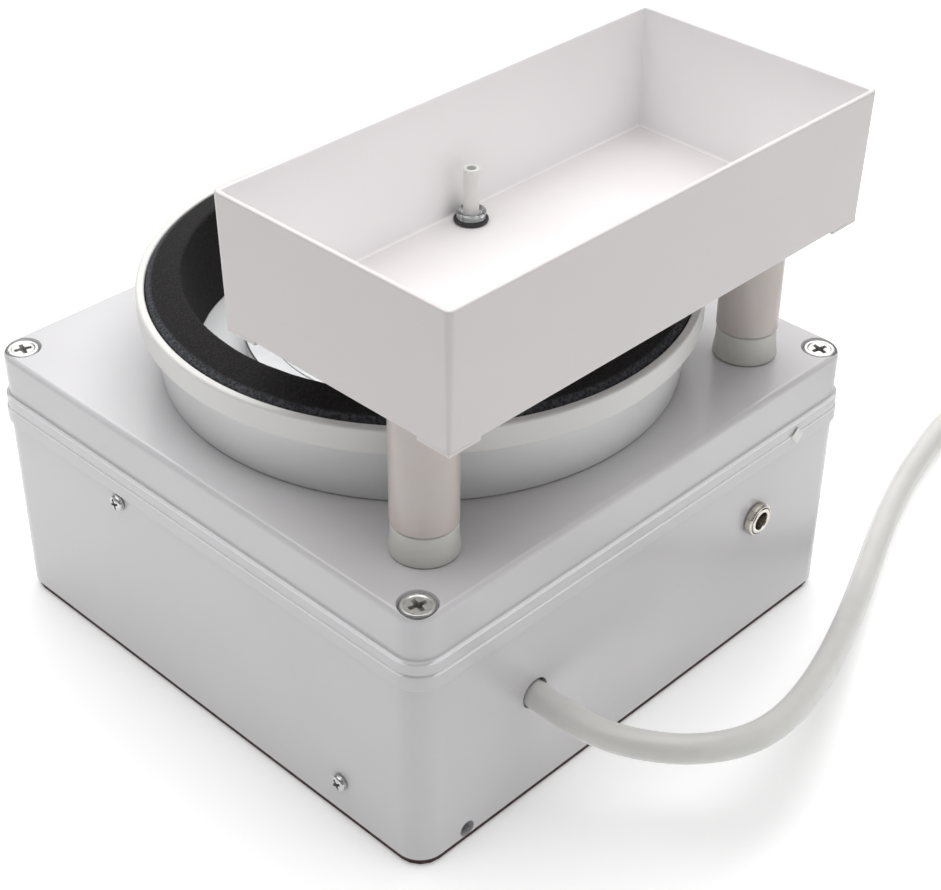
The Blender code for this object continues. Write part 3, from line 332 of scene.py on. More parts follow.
zinc = metal("zinc", (0.72, 0.72, 0.70), (0.86, 0.86, 0.84), 0.30, 0.46, 0.0012)
grain(zinc, 0.00025, 0.00001, 0.5)
# painted shade: the recess of each zinc screw head is darkened where shade falls
RECESS_PAINTED_SHADE = (0.10, 0.09, 0.08)
stain(zinc, "recess", RECESS_PAINTED_SHADE, 0.75)
steel = metal("steel", (0.50, 0.50, 0.50), (0.68, 0.68, 0.67), 0.18, 0.34, 0.0015)
nickel = metal("nickel", (0.60, 0.57, 0.52), (0.80, 0.77, 0.72), 0.14, 0.28, 0.0015)
brass = metal("brass", (0.62, 0.42, 0.16), (0.80, 0.60, 0.28), 0.22, 0.36, 0.0012)
aluminium = metal("aluminium", (0.66, 0.67, 0.68), (0.78, 0.79, 0.80), 0.26, 0.40, 0.0060)
for made in (steel, nickel, brass, aluminium):
    grain(made, 0.00035, 0.000008, 0.5)
# painted shade: the recess of each steel screw head is darkened where shade falls
stain(steel, "recess", RECESS_PAINTED_SHADE, 0.75)

turned_aluminium = metal(
    "turned_aluminium", (0.46, 0.465, 0.47), (0.54, 0.545, 0.55), 0.34, 0.46, 0.01
)
rings = node(turned_aluminium, "ShaderNodeTexWave", wave_type="RINGS", rings_direction="Z")
rings.inputs["Scale"].default_value = 320.0
rings.inputs["Distortion"].default_value = 0.4
rings.inputs["Detail"].default_value = 1.0
link(turned_aluminium, metres(turned_aluminium), rings.inputs["Vector"])
grain(turned_aluminium, 0.001, 0.000015, 0.7, rings.outputs["Fac"])
print("metals:", zinc.name, steel.name, nickel.name, brass.name, turned_aluminium.name)

# %% [markdown]
# ### Clear and milky plastics
# The hose is soft and milky: light enters it and scatters, so it has subsurface scattering. The
# cup of the drip valve is clear and gets transmission. Its stem lets a little light through.

# %% See-through finishes
hose_milky = surface("hose_milky", (0.80, 0.795, 0.77), 0.26, Subsurface_Weight=0.7)
shader_of(hose_milky).inputs["Subsurface Radius"].default_value = (0.0030, 0.0030, 0.0026)
shader_of(hose_milky).inputs["Subsurface Scale"].default_value = 1.0
tint(hose_milky, (0.66, 0.655, 0.63), (0.70, 0.695, 0.67), 0.012)
polish(hose_milky, 0.285, 0.36, 0.010)
grain(hose_milky, 0.0040, 0.00003, 0.3)

clear_plastic = surface(
    "clear_plastic", (0.93, 0.95, 0.96), 0.06, Transmission_Weight=0.92, IOR=1.49
)
polish(clear_plastic, 0.04, 0.12, 0.002)
grain(clear_plastic, 0.0012, 0.00003, 0.4)

stem_white = surface("stem_white", (0.86, 0.86, 0.84), 0.34, Transmission_Weight=0.12)
tint(stem_white, (0.83, 0.83, 0.80), (0.89, 0.89, 0.87), 0.004)
polish(stem_white, 0.28, 0.42, 0.003)
grain(stem_white, 0.0008, 0.00002, 0.5)
print("milky and clear:", hose_milky.name, clear_plastic.name, stem_white.name)

# %% Finishes of the inside
black_plastic = surface("black_plastic", (0.025, 0.025, 0.027), 0.45)
tint(black_plastic, (0.020, 0.020, 0.022), (0.032, 0.032, 0.034), 0.008)
polish(black_plastic, 0.36, 0.52, 0.006)
grain(black_plastic, 0.00040, 0.00002, 0.5)

board_green = surface("board_green", (0.03, 0.16, 0.07), 0.42)
tint(board_green, (0.020, 0.120, 0.050), (0.045, 0.210, 0.090), 0.0030)
grain(board_green, 0.00070, 0.00003, 0.5)

paper = surface("paper", (0.86, 0.86, 0.84), 0.70)
tint(paper, (0.80, 0.80, 0.78), (0.90, 0.90, 0.88), 0.0009)
grain(paper, 0.00020, 0.00002, 0.7)
print("inside:", black_plastic.name, board_green.name, "and for the sticker:", paper.name)

# %% [markdown]
# ## The drain hose
# A hose is one fixed length. It runs straight out of its hole, bends down under its own weight
# and comes to rest on the table. What is left over is wound into a flat coil behind the machine
# and held by a tie, which is a CAD solid. The route is a list of points, and a smooth curve
# through them is sampled every few millimetres. The hose is hollow, so its cut end shows a bore.

# %% Route of the hose
HOSE_RADIUS, HOSE_BORE = 0.0045, 0.0031
HOSE_POINTS = [
    (0.0880, -0.0506, 0.0410), (0.0990, -0.0506, 0.0410), (0.1099, -0.0512, 0.0415),
    (0.1210, -0.0510, 0.0421), (0.1302, -0.0484, 0.0420), (0.1379, -0.0439, 0.0416),
    (0.1443, -0.0380, 0.0407), (0.1492, -0.0302, 0.0392), (0.1527, -0.0205, 0.0372),
    (0.1538, -0.0085, 0.0344), (0.1518, 0.0063, 0.0306), (0.1467, 0.0246, 0.0253),
    (0.1390, 0.0460, 0.0189), (0.1299, 0.0682, 0.0128), (0.1207, 0.0895, 0.0081),
    (0.1115, 0.1101, 0.0054), (0.1031, 0.1293, 0.0047), (0.0963, 0.1467, 0.0046),
    (0.0905, 0.1639, 0.0046), (0.0856, 0.1822, 0.0048), (0.0822, 0.1985, 0.0056),
    (0.0815, 0.2070, 0.0060), (0.0815, 0.2117, 0.0060), (0.0815, 0.2220, 0.0060),
    (0.0815, 0.2320, 0.0060), (0.0815, 0.2420, 0.0060),
]
COIL_X, COIL_Y, COIL_Z = 0.1395, 0.2500, 0.0060
COIL_RADIUS, COIL_PITCH, COIL_TURNS = 0.0580, 0.0092, 2

for step in range(24 * COIL_TURNS + 1):
    share = step / 24
    angle = math.pi - math.tau * share
    radius = COIL_RADIUS - COIL_PITCH * share
    HOSE_POINTS.append(
        (COIL_X + radius * math.cos(angle), COIL_Y + radius * math.sin(angle), COIL_Z)
    )
print(len(HOSE_POINTS), "points, of which", 24 * COIL_TURNS, "in the coil")


# %% A smooth line through the points
def smooth_line(points, step):
    """Points about a step apart on a smooth curve through the given ones."""
    points = [Vector(point) for point in points]
    padded = [2 * points[0] - points[1], *points, 2 * points[-1] - points[-2]]
    fine = []
    for a, b, c, d in zip(padded, padded[1:], padded[2:], padded[3:]):
        for k in range(16):
            t = k / 16
            fine.append(0.5 * (2 * b + (c - a) * t + (2 * a - 5 * b + 4 * c - d) * t**2
                               + (3 * b - a - 3 * c + d) * t**3))
    fine.append(points[-1])
    lengths = [0.0]
    for here, there in zip(fine, fine[1:]):
        lengths.append(lengths[-1] + (there - here).length)
    count = round(lengths[-1] / step)
    line, at = [], 0
    for k in range(count + 1):
        target = lengths[-1] * k / count
        while at < len(fine) - 2 and lengths[at + 1] < target:
            at += 1
        share = (target - lengths[at]) / (lengths[at + 1] - lengths[at])
        line.append(fine[at].lerp(fine[at + 1], min(share, 1.0)))
    return line, lengths[-1]


hose_line, hose_length = smooth_line(HOSE_POINTS, 0.0030)
print("hose is", round(hose_length, 4), "m long")


# %% [markdown]
# The skin of the hose is made of rings. Each ring stands square to the line, and it is turned
# as little as possible from the one before, so the skin doesn't twist. The outer skin, the bore
# and the two cut ends close the body.

# %% Skin of the hose
def rings_along(line, radius, sides):
    """Rings of points that stand square to the line and follow each other without twist."""
    across = Vector((0, 0, 1))
    rings = []
    for k, point in enumerate(line):
        ahead = (line[min(k + 1, len(line) - 1)] - line[max(k - 1, 0)]).normalized()
        across = (across - ahead * across.dot(ahead)).normalized()
        third = ahead.cross(across)
        rings.append([
            point + radius * (across * math.cos(a) + third * math.sin(a))
            for a in (math.tau * s / sides for s in range(sides))
        ])
    return rings


def skin(rings, closed=False):
    """A mesh whose faces run from ring to ring, with its end rings filled or joined."""
    bm = bmesh.new()
    loops = [[bm.verts.new(point) for point in ring] for ring in rings]
    pairs = list(zip(loops, loops[1:])) + ([(loops[-1], loops[0])] if closed else [])
    for lower, upper in pairs:
        for k in range(len(lower)):
            bm.faces.new((lower[k - 1], lower[k], upper[k], upper[k - 1]))
    if not closed:
        bm.faces.new(loops[0])
        bm.faces.new(loops[-1])
    return bm


outer_skin = rings_along(hose_line, HOSE_RADIUS, 28)
bore_skin = rings_along(hose_line, HOSE_BORE, 28)
hose_body = skin(outer_skin + bore_skin[::-1], closed=True)
print("hose skin has", len(hose_body.faces), "faces")


# %% [markdown]
# ### From mesh to piece
# Each finished mesh becomes one object at the origin. Doubles are merged and the faces turned
# outwards first. Edges sharper than 32 degrees stay sharp and the rest is smooth. Then the piece
# rides on a CAD body, takes a material slot and hides the CAD solids that it stands for.

# %% A piece that rides
def tidied(source):
    """A clean mesh from a bmesh or a mesh: merged, turned outwards, smooth where it is round."""
    bm = source
    if isinstance(source, bpy.types.Mesh):
        bm = bmesh.new()
        bm.from_mesh(source)
    bmesh.ops.remove_doubles(bm, verts=bm.verts[:], dist=2e-6)
    bmesh.ops.recalc_face_normals(bm, faces=bm.faces[:])
    mesh = source if isinstance(source, bpy.types.Mesh) else bpy.data.meshes.new("piece")
    bm.to_mesh(mesh)
    bm.free()
    mesh.shade_smooth()
    mesh.set_sharp_from_angle(angle=math.radians(32))
    return mesh


def piece(name, source, finish, body, slot, *stands_for):
    mesh = tidied(source)
    mesh.name = name
    mesh.materials.clear()
    mesh.materials.append(finish)
    for face in mesh.polygons:
        face.material_index = 0
    thing = bpy.data.objects.new(name, mesh)
    bpy.context.scene.collection.objects.link(thing)
    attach(thing, body)
    if stands_for:
        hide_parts(*stands_for)
    print(f"{name}: {len(mesh.polygons)} faces on {body}")
    return thing


drain_tube = piece(
    "drain_tube", hose_body, hose_milky, "base", "hose_pvc", "drain_hose", "hose_coil"
)

# %% [markdown]
# ## Turned pieces
# The basin, the legs, their sockets, the wheel and the valve are all round. Such a body is one
# section swept round an axis. Geometry Nodes do it with a Curve Circle and Curve to Mesh, and
# a second tree sets several copies down at given points. A section is written as corners
# of (radius, height, rounding), because no moulded or turned edge is truly sharp.


# %% Rounded outlines
def softened(corners, closed=True, steps=4, hold=0.0003):
    """The outline through (a, b, rounding) corners, with an arc at each rounded one.

    A held point beside each arc keeps the shading of the flat next to it flat."""
    spots = [Vector(corner[:2]) for corner in corners]
    count, arcs = len(corners), []
    for k in range(count):
        inner = closed or 0 < k < count - 1
        rounding = corners[k][2] if len(corners[k]) > 2 and inner else 0.0
        if rounding:
            back = (spots[k - 1] - spots[k]).normalized()
            ahead = (spots[(k + 1) % count] - spots[k]).normalized()
            half = back.angle(ahead) / 2
            arcs.append((rounding, rounding / math.tan(half), back, ahead, half))
        else:
            arcs.append(None)
    outline = []
    for k, arc in enumerate(arcs):
        if arc is None:
            outline.append(spots[k])
            continue
        rounding, reach, back, ahead, half = arc
        middle = spots[k] + (back + ahead).normalized() * rounding / math.sin(half)
        start, end = spots[k] + back * reach - middle, spots[k] + ahead * reach - middle
        sweep = start.angle(end)
        bend = [
            middle
            + (start * math.sin((1 - t) * sweep) + end * math.sin(t * sweep)) / math.sin(sweep)
            for t in (s / steps for s in range(steps + 1))
        ]
        for way, other in ((back, k - 1), (ahead, (k + 1) % count)):
            taken = arcs[other][1] if arcs[other] else 0.0
            room = (spots[other] - spots[k]).length - reach - taken
            if hold and room > 2.5 * hold:
                held = spots[k] + way * (reach + hold)
                bend = [held, *bend] if way is back else [*bend, held]
        outline += bend
    return [tuple(point) for point in outline]


rounded_square = softened([(0, 0, 0.1), (1, 0, 0.1), (1, 1, 0.1), (0, 1, 0.1)])
print("a square with four rounded corners takes", len(rounded_square), "points")


# %% The tree that turns a section
def new_tree(name, *inputs):
    """An empty Geometry Nodes tree with named inputs, and its input and output nodes."""
    tree = bpy.data.node_groups.new(name, "GeometryNodeTree")
    tree.is_modifier = True
    for label, kind in inputs:
        tree.interface.new_socket(label, in_out="INPUT", socket_type="NodeSocket" + kind)
    tree.interface.new_socket("Body", in_out="OUTPUT", socket_type="NodeSocketGeometry")
    return tree, tree.nodes.new("NodeGroupInput"), tree.nodes.new("NodeGroupOutput")


def wire(tree, *pairs):
    """Links each output to the input that follows it in its pair."""
    for output, target in pairs:
        tree.links.new(output, target)


def finished(tree, given, result, geometry):
    """Ends a tree: real geometry instead of instances, and then its material."""
    realize = tree.nodes.new("GeometryNodeRealizeInstances")
    paint = tree.nodes.new("GeometryNodeSetMaterial")
    wire(
        tree, (geometry, realize.inputs["Geometry"]),
        (realize.outputs["Geometry"], paint.inputs["Geometry"]),
        (given.outputs["Finish"], paint.inputs["Material"]),
        (paint.outputs["Geometry"], result.inputs["Body"]),
    )


lathe, given, result = new_tree(
    "Turn a section", ("Section", "Geometry"), ("Radius", "Float"), ("Sides", "Int"),
    ("Finish", "Material"),
)
circle = lathe.nodes.new("GeometryNodeCurvePrimitiveCircle")
sweep = lathe.nodes.new("GeometryNodeCurveToMesh")
wire(
    lathe, (given.outputs["Radius"], circle.inputs["Radius"]),
    (given.outputs["Sides"], circle.inputs["Resolution"]),
    (circle.outputs["Curve"], sweep.inputs["Curve"]),
    (given.outputs["Section"], sweep.inputs["Profile Curve"]),
)
finished(lathe, given, result, sweep.outputs["Mesh"])
print(lathe.name, "has", len(lathe.nodes), "nodes")


# %% Running a tree
def grown(seed, tree, **values):
    """The plain mesh that a tree makes on the seed object. The seed is removed."""
    modifier = seed.modifiers.new(tree.name, "NODES")
    modifier.node_group = tree
    for item in tree.interface.items_tree:
        if item.in_out == "INPUT" and item.name in values:
            modifier[item.identifier] = values[item.name]
    bpy.context.view_layer.update()
    graph = bpy.context.evaluated_depsgraph_get()
    mesh = bpy.data.meshes.new_from_object(seed.evaluated_get(graph), depsgraph=graph)
    bpy.data.objects.remove(seed)
    return mesh


# %% Turning a section
def section_curve(section, sweep_radius):
    """A closed curve of (radius, height) points, placed for a sweep round that radius."""
    data = bpy.data.curves.new("section", "CURVE")
    data.dimensions = "3D"
    spline = data.splines.new("POLY")
    spline.points.add(len(section) - 1)
    for point, (radius, height) in zip(spline.points, section):
        point.co = (radius - sweep_radius, -height, 0, 1)
    spline.use_cyclic_u = True
    seed = bpy.data.objects.new("section", data)
    bpy.context.scene.collection.objects.link(seed)
    return seed


def turned(corners, sides, finish, at=(0, 0, 0), lay=None, steps=4, hold=0.0003):
    """A round body from a closed section of (radius, height, rounding) corners."""
    section = softened(corners, steps=steps, hold=hold)
    sweep_radius = max(radius for radius, height in section)
    seed = section_curve(section, sweep_radius)
    mesh = grown(seed, lathe, Radius=sweep_radius, Sides=sides, Finish=finish)
    mesh.transform(Matrix.Translation(at) @ (lay or Matrix()))
    return tidied(mesh)


# %% [markdown]
# ## Splash basin
# The basin is a shallow round trough with a flared wall. Near its top the wall steps outwards
# into a thicker band, the rim, which also makes a ledge for the foam inside. A raised ring in
# the middle keeps water away from the shaft.

# %% Basin
def middle_of(name):
    """The middle of a CAD node's box."""
    low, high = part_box(name)
    return (Vector(low) + Vector(high)) / 2


basin_low, basin_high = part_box("splash_basin")
FOOT_R, LEDGE_R, RIM_R, RIM_IN_R = 0.0841, 0.0860, basin_high.x, 0.0872
z0, z_rim = basin_low.z, basin_high.z
z_ledge, z_pond, z_boss = z0 + 0.0203, z0 + 0.0019, z0 + 0.0049

basin_mesh = turned(
    [
        (FOOT_R, z0, 0.0005), (LEDGE_R, z_ledge, 0.0004), (RIM_R, z_ledge, 0.0009),
        (RIM_R, z_rim, 0.0009), (RIM_IN_R, z_rim, 0.0007), (RIM_IN_R, z_ledge + 0.0020),
        (LEDGE_R - 0.0020, z_ledge + 0.0020), (FOOT_R - 0.0020, z_pond, 0.0008),
        (0.0090, z_pond, 0.0004), (0.0090, z_boss, 0.0004), (0.0065, z_boss), (0.0065, z0),
    ],
    180, basin_white, steps=5,
)
print("rim from", round(z_ledge, 4), "to", round(z_rim, 4), "m")


# %% Cutting holes
def cut(mesh, cutters):
    """The mesh with closed cutter meshes taken out of it."""

    def helper(data):
        made = bpy.data.objects.new("cutting", data)
        bpy.context.scene.collection.objects.link(made)
        return made

    body = helper(mesh)
    tools = [helper(data) for data in cutters]
    for tool in tools:
        modifier = body.modifiers.new("cut", "BOOLEAN")
        modifier.operation, modifier.solver, modifier.object = "DIFFERENCE", "EXACT", tool
    bpy.context.view_layer.update()
    graph = bpy.context.evaluated_depsgraph_get()
    result_mesh = bpy.data.meshes.new_from_object(body.evaluated_get(graph), depsgraph=graph)
    for made in (body, *tools):
        bpy.data.objects.remove(made)
    return result_mesh


def drill(radius, low, high, at=(0, 0, 0), lay=None, sides=32):
    """A round cutter along its own Z from low to high."""
    return turned([(0, low), (radius, low), (radius, high), (0, high)], sides, None, at, lay)


drain_at = (*middle_of("drain_fitting").xy, 0)
DRAIN_HOLE_R = 0.0053
basin_cutters = [drill(DRAIN_HOLE_R, z0 - 0.001, z_pond + 0.001, drain_at)]
CLAMP_SCREW_AT = 0.038  # from the axis
for quarter in range(4):
    angle = math.radians(45 + 90 * quarter)
    at = (CLAMP_SCREW_AT * math.cos(angle), CLAMP_SCREW_AT * math.sin(angle), 0)
    basin_cutters.append(drill(0.0022, z0 - 0.001, z_pond + 0.001, at, sides=16))
piece(
    "basin", cut(basin_mesh, basin_cutters), basin_white, "base", "basin_plastic", "splash_basin"
)

# %% [markdown]
# ## Foam ring
# The ring sits in the basin. It leans on the ledge, rises above the rim and slopes a little
# outwards on top. Soft foam never stays perfectly round, so a second
# tree turns the section and then pushes every point along its normal by noise: slow waves for
# the cut and small pits for the cells.

# %% Tree of the foam
foam_tree, given, result = new_tree(
    "Cut foam", ("Section", "Geometry"), ("Radius", "Float"), ("Sides", "Int"),
    ("Wave", "Float"), ("Pit", "Float"), ("Seed", "Float"), ("Finish", "Material"),
)
circle = foam_tree.nodes.new("GeometryNodeCurvePrimitiveCircle")
sweep = foam_tree.nodes.new("GeometryNodeCurveToMesh")
push = foam_tree.nodes.new("GeometryNodeSetPosition")
normal = foam_tree.nodes.new("GeometryNodeInputNormal")
wire(
    foam_tree, (given.outputs["Radius"], circle.inputs["Radius"]),
    (given.outputs["Sides"], circle.inputs["Resolution"]),
    (circle.outputs["Curve"], sweep.inputs["Curve"]),
    (given.outputs["Section"], sweep.inputs["Profile Curve"]),
)
amounts = []
for label, scale in (("Wave", 45.0), ("Pit", 900.0)):
    texture = foam_tree.nodes.new("ShaderNodeTexNoise")
    texture.noise_dimensions = "4D"
    texture.inputs["Scale"].default_value = scale
    middle = foam_tree.nodes.new("ShaderNodeMath")
    middle.operation = "SUBTRACT"
    middle.inputs[1].default_value = 0.5
    times = foam_tree.nodes.new("ShaderNodeMath")
    times.operation = "MULTIPLY"
    wire(
        foam_tree, (given.outputs["Seed"], texture.inputs["W"]),
        (texture.outputs["Fac"], middle.inputs[0]), (middle.outputs[0], times.inputs[0]),
        (given.outputs[label], times.inputs[1]),
    )
    amounts.append(times.outputs[0])
total = foam_tree.nodes.new("ShaderNodeMath")
along = foam_tree.nodes.new("ShaderNodeVectorMath")
along.operation = "SCALE"
wire(
    foam_tree, (amounts[0], total.inputs[0]), (amounts[1], total.inputs[1]),
    (normal.outputs["Normal"], along.inputs[0]), (total.outputs[0], along.inputs["Scale"]),
    (sweep.outputs["Mesh"], push.inputs["Geometry"]), (along.outputs[0], push.inputs["Offset"]),
)
finished(foam_tree, given, result, push.outputs["Geometry"])
print(foam_tree.name, "has", len(foam_tree.nodes), "nodes")


# %% Foam
def refined(outline, step):
    """The closed outline with points added so that none are more than a step apart."""
    fine = []
    for here, there in zip(outline, outline[1:] + outline[:1]):
        here, there = Vector(here), Vector(there)
        parts = max(1, round((there - here).length / step))
        fine += [tuple(here.lerp(there, k / parts)) for k in range(parts)]
    return fine


foam_low, foam_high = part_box("foam_ring")
f0, f_top = foam_low.z + 0.0002, foam_high.z - 0.0001
foam_section = refined(
    softened([
        (0.0726, f0), (0.0817, f0), (0.0836, z_ledge + 0.0024),
        (RIM_IN_R - 0.0004, z_ledge + 0.0024),
        (RIM_IN_R - 0.0004, z_rim - 0.0002, 0.0008), (0.0850, f_top - 0.0038, 0.0014),
        (0.0755, f_top - 0.0008, 0.0010),
    ]),
    0.0009,
)
FOAM_SWEEP_R = 0.080
foam_mesh = grown(
    section_curve(foam_section, FOAM_SWEEP_R), foam_tree, Radius=FOAM_SWEEP_R, Sides=420,
    Wave=0.0006, Pit=0.00035, Seed=4.0, Finish=foam_black,
)
foam_pad = piece("foam_pad", foam_mesh, foam_black, "base", "foam", "foam_ring")

# %% [markdown]
# ## Housing
# The box and its lid are rounded rectangles stacked in rings. Each ring is the outline of the
# housing moved inwards by some inset, at some height, so a wall with all its steps is again just
# a list of (inset, height, rounding) corners. The band, the seam and the flange are where the
# light draws thin lines, so these edges are rounded by fractions of a millimetre.

# %% Rings of the housing
BOX_SIDE, CORNER_R, CORNER_STEPS, HOLD = 0.2000, 0.0100, 12, 0.0006


def rounded_ring(width, depth, radius, height, steps=CORNER_STEPS, middle=(0, 0)):
    """A rectangle with round corners, and a held point on the flats beside each corner."""
    ring = []
    for side_x, side_y, start in ((1, 1, 0), (-1, 1, 90), (-1, -1, 180), (1, -1, 270)):
        for k in range(-1, steps + 2):
            angle = math.radians(start + 90 * min(max(k, 0), steps) / steps)
            along_x, along_y = 0.0, 0.0
            if k < 0 or k > steps:
                way = HOLD if k < 0 else -HOLD
                along_x, along_y = way * math.sin(angle), -way * math.cos(angle)
            x = side_x * (width / 2 - radius) + radius * math.cos(angle) + along_x
            y = side_y * (depth / 2 - radius) + radius * math.sin(angle) + along_y
            ring.append((middle[0] + x, middle[1] + y, height))
    return ring


def housing_ring(inset, height):
    return rounded_ring(
        BOX_SIDE - 2 * inset, BOX_SIDE - 2 * inset, max(CORNER_R - inset, 0.001), height
    )


# %% Ring of the cavity
def cavity_ring(height, steps=CORNER_STEPS + 2):
    """The inside of the walls, with a square pillar for a screw in each corner."""
    side, notch = BOX_SIDE - 0.0064, 0.0140
    ring = []
    for side_x, side_y in ((1, 1), (-1, 1), (-1, -1), (1, -1)):
        for k in range(steps + 1):
            lead = notch * min(2 * k / steps, 1)
            tail = notch * min(2 - 2 * k / steps, 1)
            in_x, in_y = (lead, tail) if side_x == side_y else (tail, lead)
            ring.append((side_x * (side / 2 - in_x), side_y * (side / 2 - in_y), height))
    return ring


print("each ring has", len(housing_ring(0, 0)), "points outside and", len(cavity_ring(0)), "inside")


# %% Box
box_low, box_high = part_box("housing_box")
z_box, z_seam = box_low.z, box_high.z
z_band = z_seam - 0.0050
wall_section = softened(
    [
        (0.0100, z_box), (0.0010, z_box, 0.0012), (0.0010, z_band - 0.0006, 0.0005),
        (0.0, z_band, 0.0004), (0.0, z_seam + 0.0002, 0.0008), (0.0016, z_seam + 0.0002),
        (0.0016, z_seam - 0.0020),
    ],
    closed=False,
)
box_rings = [housing_ring(inset, height) for inset, height in wall_section]
box_rings += [cavity_ring(z_seam - 0.0020), cavity_ring(z_box + 0.0030)]
box_mesh = tidied(skin(box_rings))

ALONG_X = Matrix.Rotation(math.pi / 2, 4, "Y")
ALONG_FRONT = Matrix.Rotation(math.pi / 2, 4, "X")
LID_SCREW_AT = BOX_SIDE / 2 - 0.0083
jack_low, jack_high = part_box("jack_body")
jack_at = (0, *middle_of("jack_body").yz)
panel_places = [middle_of(name).xz for name in ("driver_screw_1", "driver_screw_2")]
box_cutters = [
    drill(0.0048, 0.0900, 0.1020, jack_at, ALONG_X, 48),
    drill(0.00525, 0.0900, 0.1020, (0, -0.0506, 0.0415), ALONG_X, 64),
    drill(0.0028, 0.0840, 0.1020, (0, -0.0792, 0.0053), ALONG_X, 48),
]
box_cutters += [drill(0.0019, 0.0930, 0.1010, (x, 0, z), ALONG_FRONT) for x, z in panel_places]
LID_SCREW_PLACES = [
    (x, y, 0) for x in (-LID_SCREW_AT, LID_SCREW_AT) for y in (-LID_SCREW_AT, LID_SCREW_AT)
]
SHANK_HOLE_R = 0.0023
for at in LID_SCREW_PLACES:
    box_cutters.append(drill(SHANK_HOLE_R, 0.0600, z_seam + 0.001, at, sides=16))
box_cut = cut(box_mesh, box_cutters)
# painted highlight: marks the top edge of the band at the seam, where a near-white line is painted
mark(box_cut, "edge", lambda at: z_seam - 0.0004 < at.z and max(abs(at.x), abs(at.y)) > 0.0992)
piece("housing", box_cut, housing_grey, "base", "housing_plastic", "housing_box")

# %% [markdown]
# The lid has a flange all round that meets the band of the box, then a wall set back by about
# a millimetre, and a soft round edge to its flat top. Each corner has a recess for the screw
# head, with a tiny chamfer round its mouth.

# %% Lid
lid_low, lid_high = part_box("housing_lid")
z_lid, z_top = lid_low.z, lid_high.z
cover_section = softened(
    [
        (0.0020, z_lid), (0.0004, z_lid), (0.0002, z_lid + 0.0045, 0.0009),
        (0.0015, z_lid + 0.0045, 0.0003), (0.0013, z_top, 0.0020), (0.0200, z_top),
    ],
    closed=False, steps=6,
)
lid_rings = [cavity_ring(z_top - 0.0030), cavity_ring(z_lid)]
lid_rings += [housing_ring(inset, height) for inset, height in cover_section]
lid_mesh = tidied(skin(lid_rings))

seat = z_top - 0.0030
lid_cutters = [drill(0.0126, z_top - 0.0040, z_top + 0.001, sides=48)]
lid_cutters.append(drill(DRAIN_HOLE_R, z_top - 0.0040, z_top + 0.001, drain_at))
pocket = [
    (0, z_top + 0.001), (0.0062, z_top + 0.001), (0.0062, z_top + 0.0002),
    (0.0059, z_top - 0.0003), (0.0058, seat), (SHANK_HOLE_R, seat),
    (SHANK_HOLE_R, z_lid - 0.001), (0, z_lid - 0.001),
]
lid_cutters += [turned(pocket, 64, None, at) for at in LID_SCREW_PLACES]
post_places = []
for word in ("front", "back"):
    post_places.append((*middle_of(f"post_socket_{word}").xy, 0))
    lid_cutters.append(drill(0.0025, z_top - 0.0040, z_top + 0.001, post_places[-1], sides=16))
lid_cut = cut(lid_mesh, lid_cutters)
# painted highlight: marks the top edge of the lid's flange, where a near-white line is painted
mark(
    lid_cut, "edge",
    lambda at: z_lid + 0.0038 < at.z < z_lid + 0.0046 and max(abs(at.x), abs(at.y)) > 0.0989,
)
piece("lid", lid_cut, housing_grey, "base", "housing_plastic", "housing_lid")
print("lid top at", round(z_top, 4), "m")

# %% [markdown]
# ## Screws
# All screws of one kind are the same body, so one is made and a tree sets it down at each place.
# Nobody stops a screwdriver at the same angle twice: the tree turns each copy about its own axis
# by a random amount from a fixed seed.

# %% Tree that sets screws
setter, given, result = new_tree(
    "Set screws", ("Places", "Geometry"), ("Screw", "Object"), ("Lay", "Vector"),
    ("Turn", "Float"), ("Seed", "Int"), ("Finish", "Material"),
)
fetch = setter.nodes.new("GeometryNodeObjectInfo")
place = setter.nodes.new("GeometryNodeInstanceOnPoints")
chance = setter.nodes.new("FunctionNodeRandomValue")
about = setter.nodes.new("ShaderNodeCombineXYZ")
spin = setter.nodes.new("GeometryNodeRotateInstances")
wire(
    setter, (given.outputs["Screw"], fetch.inputs["Object"]),
    (given.outputs["Places"], place.inputs["Points"]),
    (fetch.outputs["Geometry"], place.inputs["Instance"]),
    (given.outputs["Lay"], place.inputs["Rotation"]), (given.outputs["Turn"], chance.inputs[3]),
    (given.outputs["Seed"], chance.inputs["Seed"]), (chance.outputs[1], about.inputs["Z"]),
    (place.outputs["Instances"], spin.inputs["Instances"]),
    (about.outputs["Vector"], spin.inputs["Rotation"]),
)
finished(setter, given, result, spin.outputs["Instances"])
print(setter.name, "has", len(setter.nodes), "nodes")


def set_down(mesh, places, finish, lay=(0, 0, 0), turn_by=0.0, seed=0):
    """One mesh with a copy of the given one at each place."""
    points = bpy.data.meshes.new("places")
    points.from_pydata(places, [], [])
    holder = bpy.data.objects.new("places", points)
    model = bpy.data.objects.new("model", mesh)
    for made in (holder, model):
        bpy.context.scene.collection.objects.link(made)
    made = grown(holder, setter, Screw=model, Lay=lay, Turn=turn_by, Seed=seed, Finish=finish)
    bpy.data.objects.remove(model)
    return made


# %% [markdown]
# A cross recess is wide at the top and narrows to a point, because the driver's tip does. It is
# cut with a tapered cross. The lid screws have a flat head with a raised edge; the two on the
# front wall are small pan heads.


# %% Screw heads
def cross_cutter(arm, half, top, deep):
    """A tapered cross that points down from the height top."""
    rings = []
    for share, height in ((0.55, top - deep), (0.95, top - 0.0001), (1.02, top + 0.0006)):
        ring = []
        for quarter in range(4):
            c, s = math.cos(quarter * math.pi / 2), math.sin(quarter * math.pi / 2)
            a, h = arm * share, half * (0.6 + 0.4 * share)
            spots = ((a, 0), (a, h), (h * 1.5, h * 1.1), (h * 1.1, h * 1.5), (h, a))
            ring += [(c * x - s * y, s * x + c * y, height) for x, y in spots]
        rings.append(ring)
    return tidied(skin(rings))


